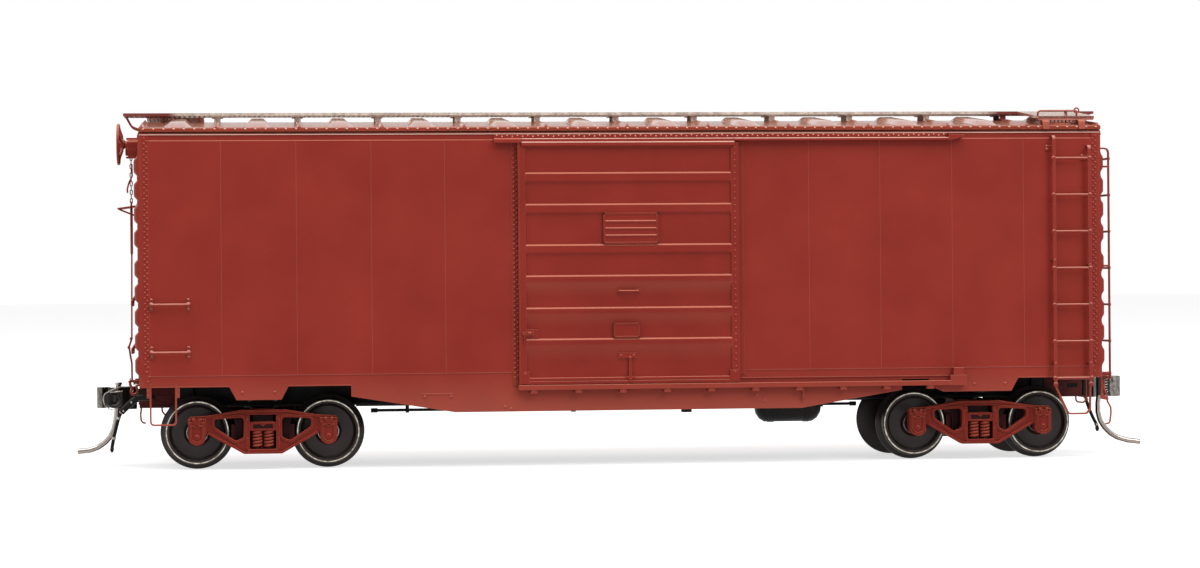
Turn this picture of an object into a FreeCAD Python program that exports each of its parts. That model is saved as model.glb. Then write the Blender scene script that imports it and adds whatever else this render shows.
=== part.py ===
"""Railroad boxcar of model size: a sliding-door car on two four-wheel trucks.

Frame: +X along the car, +Z up, origin on the track under the middle of the car.
The hand brake is at the -X end (B), the plain end is +X (A).
Right is the -Y side, left is the +Y side. Apart from the brake gear, the left side is the
right side turned half round about Z. All sizes are in millimetres.
"""
import FreeCAD, Part
import math
import os
import re
import Sketcher

SIZES = [
    # Body shell
    ("body_length", 143.0, "over the corner edges of the sides"),
    ("body_width", 33.8, "over the side sheets"),
    ("sill_top", 14.0, "top of floor and side sill, foot of the side sheets"),
    ("sill_bottom", 12.34, "lower edge of the side sill along its straight parts"),
    ("side_top", 49.08, "top of the side sheets and ends"),
    ("side_wall", 1.0, "side sheet"),
    ("end_wall", 1.5, "end panel at a valley; its edge shows beside the side sheet"),
    ("sill_wall", 0.7, "side sill plate"),
    ("floor_wall", 1.3, "floor"),
    ("rib_depth", 0.65, "end rib, proud of its valley"),
    ("rib_foot", 13.79, "lowest valley of the ribbed end"),
    ("rib_head", 46.3, "highest valley of the ribbed end"),
    ("rib_joint", 0.92, "flat joint between the two end panels"),
    ("eave_bottom", 49.46, "underside of the eave"),
    ("eave_top", 49.98, "top corner of the eave"),
    ("eave_overhang", 0.3, "eave past the side sheet"),
    ("eave_recess", 0.4, "groove under the eave"),
    ("ridge_top", 51.6, "roof sheet at the ridge"),
    ("roof_inset", 0.1, "roof end inside the body end"),
    # Side sill outline
    ("belly_half", 40.9, "half length of the deep part of the sill"),
    ("belly_end", 10.75, "its lower edge at its ends"),
    ("belly_knee", 25.7, "half length of its level bottom"),
    ("belly_bottom", 8.25, "its level bottom"),
    ("tab_bottom", 10.4, "lower edge of the sill tab at a bolster"),
    ("tab_half_top", 4.3, "half length of a tab where it leaves the sill"),
    ("tab_half_bottom", 3.25, "half length of its lower edge"),
    ("tab_shift", 0.55, "tab centre from the truck centre, towards the car end"),
    ("track_tab", 2.95, "start of the long tab, before the end of the door track"),
    # Doors and their tracks
    ("door_width", 32.8, "sliding door"),
    ("door_bottom", 12.2, "lower edge of the door"),
    ("door_top", 47.68, "upper edge of the door"),
    ("door_wall", 0.8, "door at its frame and ribs"),
    ("door_panel", 0.45, "door at its panels"),
    ("door_gap", 0.2, "side sheet to door"),
    ("door_stile", 1.2, "upright edge of the door"),
    ("door_rail", 0.93, "lower rail"),
    ("door_header", 0.63, "upper rail"),
    ("door_travel", 31.5, "slide from shut to open"),
    ("door_clear", 0.1, "door to track, all round"),
    ("opening_width", 29.6, "doorway"),
    ("opening_top", 46.6, "top of the doorway"),
    ("track_lead", 3.4, "upper track before the shut door"),
    ("track_stop", 2.4, "stop past the open door"),
    ("upper_track", 1.03, "height of the upper track"),
    ("lower_ledge", 0.7, "thickness of the lower track's ledge"),
    ("track_lip", 0.25, "thickness of a track's front lip"),
    ("lip_height", 0.4, "lower track's lip above its ledge"),
    # Roof walk
    ("board_reach", 2.9, "roof walk past the body end"),
    ("board_width", 5.8, "roof walk"),
    ("board_bottom", 52.3, "underside of the roof walk"),
    ("board_wall", 0.4, "thickness of the walks"),
    ("seam_inset", 11.35, "last roof seam from the body end"),
    ("saddle_length", 0.8, "saddle under the roof walk, along the car"),
    ("lateral_near", 0.7, "lateral walk from the body end"),
    ("lateral_length", 8.3, "lateral walk along the car"),
    ("lateral_edge", 15.9, "its outer edge from the middle"),
    ("lateral_drop", 1.7, "its outer edge below the roof walk"),
    ("foot_length", 1.1, "foot of a lateral walk along the car"),
    ("foot_inset", 0.3, "foot from the lateral walk's edges"),
    # Ladders and irons
    ("ladder_inset", 2.1, "side ladder from the body end"),
    ("ladder_width", 5.4, "between stile centres"),
    ("ladder_reach", 1.3, "stile face from the side sheet"),
    ("ladder_top", 48.3, "top of a side ladder's inner stile"),
    ("outer_stile_drop", 1.3, "outer stile and end ladder below it"),
    ("ladder_bottom", 11.2, "foot of a stile"),
    ("stile_width", 0.5, "stile"),
    ("rung_top", 45.1, "highest rung"),
    ("rung_bottom", 12.23, "lowest rung"),
    ("rung_radius", 0.22, "rungs, grab irons and thin rods"),
    ("iron_high", 24.35, "upper grab iron"),
    ("iron_low", 17.4, "lower grab iron"),
    ("iron_inset", 1.8, "grab irons from the corner"),
    ("iron_length", 5.3, "grab iron between its legs"),
    ("iron_reach", 1.0, "side grab iron from the side sheet"),
    ("end_iron_reach", 1.6, "end grab iron from the body end"),
    ("end_iron_start", 0.2, "its legs from the body end"),
    ("strap_width", 0.45, "sill step strap"),
    ("step_bottom", 6.8, "tread of a sill step"),
    ("step_inset", 1.7, "square step from the body end"),
    ("step_width", 3.9, "square step along the car"),
    # Hand brake
    ("brake_side", -2.0, "brake wheel from the middle of the car"),
    ("brake_height", 48.35, "centre of the brake wheel"),
    ("brake_radius", 2.9, "brake wheel rim, to the middle of its section"),
    ("rim_radius", 0.24, "section of the rim"),
    ("wheel_reach", 3.3, "brake wheel from the body end"),
    ("housing_reach", 2.3, "gear housing from the body end"),
    ("step_reach", 3.5, "brake step from the body end"),
    ("brake_step", 38.9, "top of the brake step"),
    ("brake_step_half", 2.4, "half width of the brake step"),
    ("brake_step_wall", 0.3, "brake step"),
    # Underframe
    ("center_half", 2.6, "half width of the centre sill's webs"),
    ("flange_half", 3.3, "half width of its lower flange"),
    ("flange_wall", 0.4, "lower flange"),
    ("center_bottom", 9.0, "underside of the centre sill"),
    ("bolster_half", 2.2, "half length of a body bolster along the car"),
    ("plate_gap", 0.05, "centre plate to truck bolster"),
    ("plate_wall", 0.25, "centre plate"),
    ("plate_radius", 2.6, "centre plate"),
    ("bearer_half", 0.35, "half length of a crossbearer along the car"),
    ("bearer_to_door", 0.8, "inner crossbearer past the door's edge"),
    ("bearer_to_truck", 19.25, "outer crossbearer before the truck centre"),
    ("ballast_inset", 11.5, "steel ballast plate from the body end"),
    ("ballast_width", 27.0, "steel ballast plate"),
    ("ballast_wall", 1.5, "steel ballast plate"),
    ("tank_radius", 2.7, "air reservoir"),
    ("tank_side", -8.0, "air reservoir from the middle"),
    ("tank_height", 8.6, "its axis"),
    ("strap_length", 0.8, "hanger strap along the car"),
    ("cylinder_radius", 2.0, "brake cylinder"),
    ("cylinder_inner", 7.0, "its head end from the middle of the car"),
    ("cylinder_outer", 14.0, "its rod end from the middle of the car"),
    ("cylinder_side", 7.5, "brake cylinder from the middle"),
    ("cylinder_height", 9.4, "its axis"),
    ("valve_start", 8.0, "control valve, its end nearer the middle"),
    ("valve_length", 3.4, "control valve along the car"),
    ("lever_reach", 18.5, "brake levers from the middle of the car"),
    ("lever_half", 0.4, "half width of a brake lever"),
    ("lever_bottom", 7.9, "underside of the brake levers"),
    ("lever_wall", 0.5, "brake lever"),
    ("rod_side", 1.6, "brake rods from the middle"),
    ("rod_height", 8.1, "brake rods"),
    ("pipe_radius", 0.35, "train line"),
    # Trucks
    ("truck_spacing", 107.5, "between truck centres"),
    ("wheelbase", 19.25, "between the axles of a truck"),
    ("axle_datum", 5.45, "axle height that all other heights belong to"),
    ("wheel_tread", 9.62, "tread diameter"),
    ("flange_height", 0.64, "flange past the tread"),
    ("wheel_width", 2.79, "wheel"),
    ("back_to_back", 14.5, "between the wheels' backs"),
    ("axle_radius", 1.1, "axle"),
    ("journal_radius", 0.45, "axle end"),
    ("journal_clear", 0.08, "axle end to its hole, all round"),
    ("frame_inner", 11.1, "side frame's inner face from the middle"),
    ("frame_wall", 1.4, "side frame"),
    ("box_reach", 0.7, "journal box past the side frame"),
    ("bolster_top", 8.7, "top of the truck bolster"),
    ("bolster_wall", 1.75, "half length of the truck bolster along the car"),
    ("spring_seat", 3.05, "foot of the springs"),
    ("spring_top", 5.76, "top of the springs, underside of the bolster's end"),
    ("spring_radius", 0.8, "spring"),
    ("spring_shift", 0.86, "springs from the truck centre along the car"),
    ("beam_wall", 0.6, "brake beam along the car"),
    ("beam_clear", 0.575, "brake beam to the wheel flange"),
    ("beam_half", 9.9, "half length of the brake beam"),
    ("shoe_side", 9.05, "brake shoe from the middle"),
    ("shoe_half", 0.75, "half width of a brake shoe"),
    ("shoe_clear", 0.15, "brake shoe to the tread"),
    ("swivel_range", 12.0, "swivel of a truck each way, degrees"),
    # Couplers
    ("coupler_reach", 7.0, "knuckle face past the body end"),
    ("coupler_bottom", 8.73, "underside of the coupler head"),
    ("coupler_top", 12.1, "top of the coupler head"),
    ("pocket_length", 7.5, "draft pocket"),
    ("pocket_half", 3.2, "half width of the draft pocket"),
    ("pocket_reach", 0.5, "draft pocket past the body end"),
    ("pocket_wall", 0.6, "draft pocket"),
    ("shank_half", 1.1, "half width of the shank"),
    ("shank_clear", 1.1, "shank to pocket, sideways"),
    ("pivot_radius", 0.7, "pivot post of the coupler"),
    ("pivot_clear", 0.08, "shank to its pivot post, all round"),
    ("pin_radius", 0.35, "trip pin"),
    ("hose_radius", 0.45, "air hose"),
    ("hose_side", 5.6, "air hose from the middle"),
    ("hose_bottom", 2.2, "foot of the air hose"),
    ("lift_reach", 1.4, "uncoupling lever from the body end"),
    ("lift_rise", 0.55, "uncoupling lever above the coupler"),
    ("lift_tip", 15.2, "its handle from the middle"),
    ("lift_bottom", 5.4, "foot of its handle"),
]

doc = FreeCAD.newDocument("boxcar")
sheet = doc.addObject("Spreadsheet::Sheet", "dim")
for row, (alias, size, note) in enumerate(SIZES, start=1):
    sheet.set(f"A{row}", alias)
    sheet.set(f"B{row}", str(size))
    sheet.set(f"C{row}", note)
    sheet.setAlias(f"B{row}", alias)
doc.recompute()

AXES = "xyz"
# Turns that lay a cylinder, made along Z, along X, Y or Z
LAID = [
    FreeCAD.Rotation(FreeCAD.Vector(0, 1, 0), 90),
    FreeCAD.Rotation(FreeCAD.Vector(1, 0, 0), -90),
    FreeCAD.Rotation(),
]
HALF_TURN = FreeCAD.Rotation(FreeCAD.Vector(0, 0, 1), 180)
NODES = []

# Places that many pieces share, worked out from the sheet
HALF = "body_length / 2"
SIDE = "body_width / 2"
INSIDE_END = f"({HALF} - end_wall)"
CREST = f"({HALF} + rib_depth)"
TRUCK = "truck_spacing / 2"
AXLE_HEIGHT = "(wheel_tread / 2 + flange_height)"
# Body and trucks stand higher or lower with the wheels
RIDE = f"({AXLE_HEIGHT} - axle_datum)"
FLOOR_BOTTOM = "(sill_top - floor_wall)"
DOOR_FACE = f"({SIDE} + door_gap + door_wall)"
TRACK_FACE = f"({DOOR_FACE} + door_clear + track_lip)"
TRACK_END = "(door_width / 2 + door_travel + door_clear)"
LADDER_FACE = f"({SIDE} + ladder_reach)"
BOARD_END = f"({HALF} + board_reach)"
COUPLER_FACE = f"({HALF} + coupler_reach)"
INNER_BEARER = "(door_width / 2 + bearer_to_door)"
OUTER_BEARER = f"({TRUCK} - bearer_to_truck)"
BEARER_SPACE = f"({OUTER_BEARER} - {INNER_BEARER})"


# ---------------------------------------------------------------- construction helpers

def bind(text):
    """An expression in the sheet's words, as the document reads it."""
    return re.sub(r"\b[a-z]\w*\b(?!\()", r"dim.\g<0>", text)


def value(text):
    """The number that an expression gives."""
    return float(sheet.evalExpression(bind(text)))


def minus(text):
    return f"-({text})"


def box(name, x, y, z):
    """Box between two expressions along each axis."""
    item = doc.addObject("Part::Box", name)
    for size, axis, (low, high) in zip(("Length", "Width", "Height"), AXES, (x, y, z)):
        item.setExpression(size, bind(f"({high}) - ({low})"))
        item.setExpression(f"Placement.Base.{axis}", bind(low))
    return item


def rod(name, radius, *place):
    """Cylinder along the axis whose place is a pair of ends."""
    along = next(i for i, part in enumerate(place) if isinstance(part, tuple))
    item = doc.addObject("Part::Cylinder", name)
    item.Placement = FreeCAD.Placement(FreeCAD.Vector(), LAID[along])
    low, high = place[along]
    item.setExpression("Radius", bind(radius))
    item.setExpression("Height", bind(f"({high}) - ({low})"))
    for axis, part in zip(AXES, place):
        start = low if isinstance(part, tuple) else part
        item.setExpression(f"Placement.Base.{axis}", bind(start))
    return item


def outline_sketch(body, name, plane, outlines):
    """Sketch of closed outlines on one of the body's planes, each corner bound to the sheet."""
    sketch = body.newObject("Sketcher::SketchObject", name + "_outline")
    support = next(f for f in body.Origin.OriginFeatures if f.Role == plane + "_Plane")
    sketch.AttachmentSupport = [(support, "")]
    sketch.MapMode = "FlatFace"
    for outline in outlines:
        first = sketch.GeometryCount
        count = len(outline)
        corners = [FreeCAD.Vector(value(x), value(y), 0) for x, y in outline]
        for i, corner in enumerate(corners):
            sketch.addGeometry(Part.LineSegment(corner, corners[(i + 1) % count]))
        for i in range(count):
            after = first + (i + 1) % count
            sketch.addConstraint(Sketcher.Constraint("Coincident", first + i, 2, after, 1))
        for i, (corner, point) in enumerate(zip(corners, outline)):
            for kind, number, text in zip(("DistanceX", "DistanceY"), corner, point):
                place = sketch.addConstraint(Sketcher.Constraint(kind, -1, 1, first + i, 1, number))
                sketch.setExpression(f"Constraints[{place}]", bind(text))
    return sketch


def plate(name, plane, low, high, outline, *holes):
    """Plate with the outline on a plane, from low to high along the plane's axis."""
    body = doc.addObject("PartDesign::Body", name)
    sketch = outline_sketch(body, name, plane, (outline,) + holes)
    offset = minus(high) if plane == "XZ" else low
    sketch.setExpression("AttachmentOffset.Base.z", bind(offset))
    pad = body.newObject("PartDesign::Pad", name + "_pad")
    pad.Profile = sketch
    pad.setExpression("Length", bind(f"({high}) - ({low})"))
    return body


def turning(name, outline):
    """Solid of revolution about Y from an outline of (place along Y, radius)."""
    body = doc.addObject("PartDesign::Body", name)
    sketch = outline_sketch(body, name, "YZ", (outline,))
    revolution = body.newObject("PartDesign::Revolution", name + "_turn")
    revolution.Profile = sketch
    revolution.ReferenceAxis = (sketch, ["H_Axis"])
    revolution.Angle = 360
    return body


def bent_rod(name, radius, bend, points):
    """Round bar along straight runs joined by tangent bends."""
    knots = [FreeCAD.Vector(*(value(text) for text in point)) for point in points]
    size, bend_size = value(radius), value(bend)
    edges, start = [], knots[0]
    for before, knot, after in zip(knots, knots[1:], knots[2:]):
        back, ahead = (before - knot).normalize(), (after - knot).normalize()
        half_angle = back.getAngle(ahead) / 2
        reach = bend_size / math.tan(half_angle)
        middle = (back + ahead).normalize() * (bend_size / math.sin(half_angle) - bend_size)
        edges.append(Part.LineSegment(start, knot + back * reach).toShape())
        edges.append(Part.Arc(knot + back * reach, knot + middle, knot + ahead * reach).toShape())
        start = knot + ahead * reach
    edges.append(Part.LineSegment(start, knots[-1]).toShape())
    section = Part.Wire(Part.makeCircle(size, knots[0], knots[1] - knots[0]))
    item = doc.addObject("Part::Feature", name)
    item.Shape = Part.Wire(edges).makePipeShell([section], True, False)
    return item


def fuse(name, parts):
    item = doc.addObject("Part::MultiFuse", name)
    item.Shapes = parts
    return item


def cut(name, base, tool):
    item = doc.addObject("Part::Cut", name)
    item.Base, item.Tool = base, tool
    return item


def mirror(name, part, normal=(0, 1, 0)):
    item = doc.addObject("Part::Mirroring", name)
    item.Source = part
    item.Normal = FreeCAD.Vector(*normal)
    return item


def placed(name, parts, x="0", z="0", turned=False):
    """The parts together, moved along X and Z, and turned half round about Z if asked."""
    item = doc.addObject("Part::Compound", name)
    item.Links = parts
    if turned:
        item.Placement = FreeCAD.Placement(FreeCAD.Vector(), HALF_TURN)
    item.setExpression("Placement.Base.x", bind(x))
    item.setExpression("Placement.Base.z", bind(z))
    return item


def node(label, *parts, z=RIDE, **place):
    """A sub-part of the car, written to a file with its label's name."""
    item = placed(label, list(parts), z=z, **place)
    NODES.append(item)
    return item


def turned(part):
    return placed(part.Name + "_turned", [part], turned=True)


def node_pair(label, *parts):
    """A sub-part made of the given parts and their copies, turned half round."""
    return node(label, *parts, *[turned(part) for part in parts])


# ---------------------------------------------------------------- body shell

def make_sides():
    sheet_blank = box("side_blank", (minus(INSIDE_END), INSIDE_END), (minus(SIDE), f"side_wall - {SIDE}"),
                      ("sill_top", "side_top"))
    doorway = box("doorway", ("-opening_width / 2", "opening_width / 2"),
                  (f"-{SIDE} - side_wall", f"-{SIDE} + 2 * side_wall"),
                  ("sill_top - side_wall", "opening_top"))
    side = cut("side_sheet", sheet_blank, doorway)
    node("side_right", side)
    node("side_left", side, turned=True)


def make_side_sills():
    track_tab_start = f"({TRACK_END} - track_tab)"
    tab = f"({TRUCK} + tab_shift)"
    outline = [
        (minus(INSIDE_END), "sill_top"), (minus(INSIDE_END), "sill_bottom"),
        (f"-{tab} - tab_half_top", "sill_bottom"), (f"-{tab} - tab_half_bottom", "tab_bottom"),
        (f"-{tab} + tab_half_bottom", "tab_bottom"), (f"-{tab} + tab_half_top", "sill_bottom"),
        ("-belly_half", "sill_bottom"), ("-belly_half", "belly_end"),
        ("-belly_knee", "belly_bottom"), ("belly_knee", "belly_bottom"),
        ("belly_half", "belly_end"), ("belly_half", "sill_bottom"),
        (track_tab_start, "sill_bottom"), (track_tab_start, "(sill_bottom + tab_bottom) / 2"),
        (f"{tab} - 2 * tab_half_bottom - tab_shift", "tab_bottom"),
        (f"{tab} + tab_half_bottom", "tab_bottom"), (f"{tab} + tab_half_top", "sill_bottom"),
        (INSIDE_END, "sill_bottom"), (INSIDE_END, "sill_top"),
    ]
    sill = plate("side_sill", "XZ", minus(SIDE), f"sill_wall - {SIDE}", outline)
    node("side_sill_right", sill)
    node("side_sill_left", sill, turned=True)


LOWER_RIBS, UPPER_RIBS = 5, 4
# Where a rib's outline turns: share of its pitch, and whether it is on the crest
RIB_CORNERS = [(0.03, False), (0.22, True), (0.78, True), (0.97, False)]


def make_ends():
    pitch = f"((rib_head - rib_foot - rib_joint) / {LOWER_RIBS + UPPER_RIBS})"
    outline = [(INSIDE_END, "sill_bottom"), (HALF, "sill_bottom")]
    for rib in range(LOWER_RIBS + UPPER_RIBS):
        foot = f"rib_foot + {rib} * {pitch}" + (" + rib_joint" if rib >= LOWER_RIBS else "")
        for share, on_crest in RIB_CORNERS:
            outline.append((CREST if on_crest else HALF, f"{foot} + {share} * {pitch}"))
    outline += [(HALF, "side_top"), (INSIDE_END, "side_top")]
    end = plate("end_panel", "XZ", minus(SIDE), SIDE, outline)
    node("end_plain", end)
    node("end_brake", end, turned=True)


def make_roof():
    recess = f"({SIDE} - eave_recess)"
    eave = f"({SIDE} + eave_overhang)"
    right = [(recess, "side_top"), (recess, "eave_bottom"), (eave, "eave_bottom"), (eave, "eave_top")]
    left = [(minus(y), z) for y, z in reversed(right)]
    roof = plate("roof_sheet", "YZ", f"roof_inset - {HALF}", f"{HALF} - roof_inset",
                 right + [("0", "ridge_top")] + left)
    node("roof", roof)


def make_floor():
    node("floor", box("floor_board", (minus(INSIDE_END), INSIDE_END),
                      (f"sill_wall - {SIDE}", f"{SIDE} - sill_wall"), (FLOOR_BOTTOM, "sill_top")))
    node("ballast_weight", box("ballast", (f"ballast_inset - {HALF}", f"{HALF} - ballast_inset"),
                               ("-ballast_width / 2", "ballast_width / 2"),
                               ("sill_top", "sill_top + ballast_wall")))


# ---------------------------------------------------------------- doors

# Door ribs: top edge, foot of the flat face and foot of the slope, as shares of the door height
DOOR_RIBS = [
    (0.188, 0.159, 0.141), (0.317, 0.288, 0.270), (0.450, 0.418, 0.402),
    (0.578, 0.546, 0.532), (0.746, 0.712, 0.699), (0.876, 0.842, 0.829),
]


def make_doors():
    face, panel = minus(DOOR_FACE), f"-{SIDE} - door_gap - door_panel"
    back = f"-{SIDE} - door_gap"
    half = "door_width / 2"
    height = "(door_top - door_bottom)"
    outline = [(back, "door_bottom"), (face, "door_bottom"), (face, "door_bottom + door_rail"),
               (panel, "door_bottom + door_rail")]
    for top, flat, foot in DOOR_RIBS:
        outline += [(panel, f"door_bottom + {foot} * {height}"), (face, f"door_bottom + {flat} * {height}"),
                    (face, f"door_bottom + {top} * {height}"), (panel, f"door_bottom + {top} * {height}")]
    outline += [(panel, "door_top - door_header"), (face, "door_top - door_header"), (face, "door_top"),
                (back, "door_top")]
    leaf = plate("door_leaf", "YZ", f"door_stile - {half}", f"{half} - door_stile", outline)
    stiles = [
        box("door_stile_b", (f"-{half}", f"door_stile - {half}"), (face, back), ("door_bottom", "door_top")),
        box("door_stile_a", (f"{half} - door_stile", half), (face, back), ("door_bottom", "door_top")),
    ]
    door = fuse("door", [leaf] + stiles)
    node("door_right", door)
    node("door_left", door, turned=True)


def make_door_tracks():
    start = "-door_width / 2 - track_lead"
    upper_bottom = "(door_top + door_clear)"
    stop_end = f"{TRACK_END} + track_stop"
    outline = [(start, upper_bottom), (TRACK_END, upper_bottom),
               (stop_end, f"{upper_bottom} + 0.5 * upper_track"),
               (stop_end, f"{upper_bottom} + upper_track"), (start, f"{upper_bottom} + upper_track")]
    upper = plate("upper_track_bar", "XZ", minus(TRACK_FACE), minus(SIDE), outline)
    node_pair("door_tracks_upper", upper)

    ledge_top = "(door_bottom - door_clear)"
    ledge = box("lower_ledge_bar", ("-door_width / 2 - door_clear", stop_end),
                (minus(TRACK_FACE), minus(SIDE)), (f"{ledge_top} - lower_ledge", ledge_top))
    lip = box("lower_lip", ("-door_width / 2 - door_clear", stop_end),
              (minus(TRACK_FACE), f"track_lip - {TRACK_FACE}"), (ledge_top, f"{ledge_top} + lip_height"))
    stop = box("lower_stop", (TRACK_END, stop_end), (minus(TRACK_FACE), minus(SIDE)),
               (ledge_top, f"{ledge_top} + 2 * lip_height"))
    node_pair("door_tracks_lower", fuse("lower_track", [ledge, lip, stop]))


# ---------------------------------------------------------------- roof walk

SEAMS_EACH_WAY = 5


def make_roof_walk():
    half = "board_width / 2"
    board_top = "(board_bottom + board_wall)"
    node("running_board", box("walk", (minus(BOARD_END), BOARD_END), (f"-{half}", half),
                              ("board_bottom", board_top)))

    slope = f"((ridge_top - eave_top) / ({SIDE} + eave_overhang))"
    saddle_half = f"({half} - saddle_length)"
    low = f"ridge_top - {slope} * {saddle_half}"
    outline = [(f"-{saddle_half}", low), ("0", "ridge_top"), (saddle_half, low),
               (saddle_half, "board_bottom"), (f"-{saddle_half}", "board_bottom")]
    saddle = plate("saddle", "YZ", "-saddle_length / 2", "saddle_length / 2", outline)
    pitch = f"(({HALF} - seam_inset) / {SEAMS_EACH_WAY})"
    saddles = [placed("saddle_place", [saddle], x=f"{i} * {pitch}")
               for i in range(-SEAMS_EACH_WAY, SEAMS_EACH_WAY + 1)]
    roof_end = f"({HALF} - roof_inset)"
    brace_outline = [
        (roof_end, "eave_top"), (f"{BOARD_END} - board_wall", "board_bottom"),
        (f"{BOARD_END} - 2.5 * board_wall", "board_bottom"), (roof_end, "eave_top + 1.5 * board_wall"),
    ]
    brace = plate("walk_brace", "XZ", f"{saddle_half} - board_wall", saddle_half, brace_outline)
    braces = [brace, mirror("walk_brace_left", brace)]
    node("running_board_supports", *saddles, *braces, *[turned(part) for part in braces])

    inner, outer = f"-{half}", "-lateral_edge"
    edge_top = f"({board_top} - lateral_drop)"
    low_x, high_x = f"{HALF} - lateral_near - lateral_length", f"{HALF} - lateral_near"
    edge_low = f"{edge_top} - board_wall"
    lateral = plate("lateral_walk", "YZ", low_x, high_x,
                    [(inner, "board_bottom"), (inner, board_top), (outer, edge_top), (outer, edge_low)])
    foot_near, foot_far = "(foot_inset + foot_length)", "foot_inset"
    foot_outline = [
        (f"{outer} + {foot_near}", f"ridge_top - {slope} * (lateral_edge - {foot_near})"),
        (f"{outer} + {foot_far}", f"ridge_top - {slope} * (lateral_edge - {foot_far})"),
        (f"{outer} + {foot_far}", edge_low), (f"{outer} + {foot_near}", edge_low),
    ]
    feet = [plate("lateral_foot", "YZ", start, f"{start} + foot_length", foot_outline)
            for start in (f"{low_x} + foot_inset", f"{low_x} + 0.7 * lateral_length")]
    node_pair("lateral_boards", lateral, *feet)

    # Corner grab iron: along the car over the walk's outer edge, then in along its end
    height, side_y, end_x = f"{edge_top} + 1.1", f"{outer} + 0.6", f"{high_x} - 0.6"
    rise = f"(lateral_drop / (lateral_edge - {half}))"
    side_foot = f"{edge_top} + {rise} * (0.6 + rung_radius)"
    end_foot = f"{edge_top} + {rise} * (7.1 + rung_radius)"
    iron = bent_rod("corner_iron", "rung_radius", "2 * rung_radius", [
        (f"{low_x} + 1.6", side_y, side_foot), (f"{low_x} + 1.6", side_y, height), (end_x, side_y, height),
        (end_x, f"{side_y} + 6.5", f"{height} + 0.7"), (end_x, f"{side_y} + 6.5", end_foot),
    ])
    node_pair("corner_grab_irons", iron)


# ---------------------------------------------------------------- ladders, irons and steps

RUNGS = 7


def rung_height(i):
    return f"rung_bottom + {i} * (rung_top - rung_bottom) / {RUNGS - 1}"


def make_ladders():
    outer = f"({HALF} - ladder_inset)"
    inner = f"({outer} - ladder_width)"
    face, half_stile = minus(LADDER_FACE), "stile_width / 2"
    low_top = "(ladder_top - outer_stile_drop)"
    middle, low_foot = "(ladder_top + ladder_bottom) / 2", "sill_top + stile_width"
    parts = []
    for x, top in ((inner, "ladder_top"), (outer, low_top)):
        stile_x = (f"{x} - {half_stile}", f"{x} + {half_stile}")
        parts.append(box("side_stile", stile_x, (face, f"{face} + stile_width"), ("ladder_bottom", top)))
        for height in (f"{top} - stile_width", middle, low_foot):
            parts.append(box("side_stile_foot", stile_x, (f"{face} + {half_stile}", minus(SIDE)),
                             (f"{height} - {half_stile}", f"{height} + {half_stile}")))
    for i in range(RUNGS):
        rung_y = f"{face} + {half_stile}"
        parts.append(rod("side_rung", "rung_radius", (inner, outer), rung_y, rung_height(i)))
    node_pair("side_ladders", fuse("side_ladder", parts))

    near = f"-({SIDE} - ladder_inset / 2)"
    far = f"({near} + ladder_width)"
    face = f"({HALF} + step_reach - ladder_reach)"
    parts = []
    for y in (near, far):
        stile_y = (f"{y} - {half_stile}", f"{y} + {half_stile}")
        parts.append(box("end_stile", (f"{face} - stile_width", face), stile_y, ("sill_bottom", low_top)))
        for height in (f"{low_top} - stile_width", middle, low_foot):
            parts.append(box("end_stile_foot", (CREST, f"{face} - {half_stile}"), stile_y,
                             (f"{height} - {half_stile}", f"{height} + {half_stile}")))
    for i in range(RUNGS):
        rung_x = f"{face} - {half_stile}"
        parts.append(rod("end_rung", "rung_radius", rung_x, (near, far), rung_height(i)))
    node_pair("end_ladders", fuse("end_ladder", parts))


def make_grab_irons():
    """Two irons on each side at the corner away from the ladder, two on each end beside it."""
    low_x, high_x = f"iron_inset - {HALF}", f"iron_inset + iron_length - {HALF}"
    side_face, side_bar = minus(SIDE), f"-{SIDE} - iron_reach"
    foot_x, bar_x = f"-{HALF} - end_iron_start", f"-{HALF} - end_iron_reach"
    near, far = f"1.1 * iron_inset - {SIDE}", f"1.1 * iron_inset + iron_length - {SIDE}"
    side_irons, end_irons = [], []
    for height in ("iron_high", "iron_low"):
        side_irons.append(bent_rod("side_iron", "rung_radius", "2 * rung_radius", [
            (low_x, side_face, height), (low_x, side_bar, height),
            (high_x, side_bar, height), (high_x, side_face, height)]))
        end_irons.append(bent_rod("end_iron", "rung_radius", "2 * rung_radius", [
            (foot_x, near, height), (bar_x, near, height), (bar_x, far, height), (foot_x, far, height)]))
    node_pair("side_grab_irons", *side_irons)
    node_pair("end_grab_irons", *end_irons)


def make_sill_steps():
    """A square U under the plain corner, and a slanted stirrup under the side ladder."""
    low_x, high_x = f"(step_inset - {HALF})", f"(step_inset + step_width - {HALF})"
    square = plate("square_step", "XZ", minus(SIDE), f"stile_width - {SIDE}", [
        (low_x, "sill_bottom"), (low_x, "step_bottom"), (high_x, "step_bottom"), (high_x, "sill_bottom"),
        (f"{high_x} - strap_width", "sill_bottom"), (f"{high_x} - strap_width", "step_bottom + strap_width"),
        (f"{low_x} + strap_width", "step_bottom + strap_width"), (f"{low_x} + strap_width", "sill_bottom")])
    outer = f"({HALF} - ladder_inset)"
    inner = f"({outer} - ladder_width)"
    slanted = plate("slanted_step", "XZ", minus(LADDER_FACE), f"stile_width - {LADDER_FACE}", [
        (f"{inner} - 0.2", "ladder_bottom"), (f"{inner} + 1.85", "step_bottom + 1.2"),
        (f"{inner} + 2.1", "step_bottom"),
        (f"{outer} - 0.3", "step_bottom"), (f"{outer} + 0.25", "ladder_bottom"),
        (f"{outer} - 0.2", "ladder_bottom"),
        (f"{outer} - 0.7", "step_bottom + strap_width"), (f"{inner} + 2.55", "step_bottom + strap_width"),
        (f"{inner} + 2.3", "step_bottom + 1.25"), (f"{inner} + 0.25", "ladder_bottom")])
    node_pair("sill_steps", square, slanted)


# ---------------------------------------------------------------- hand brake

BRAKE_SPOKES = 5


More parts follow.
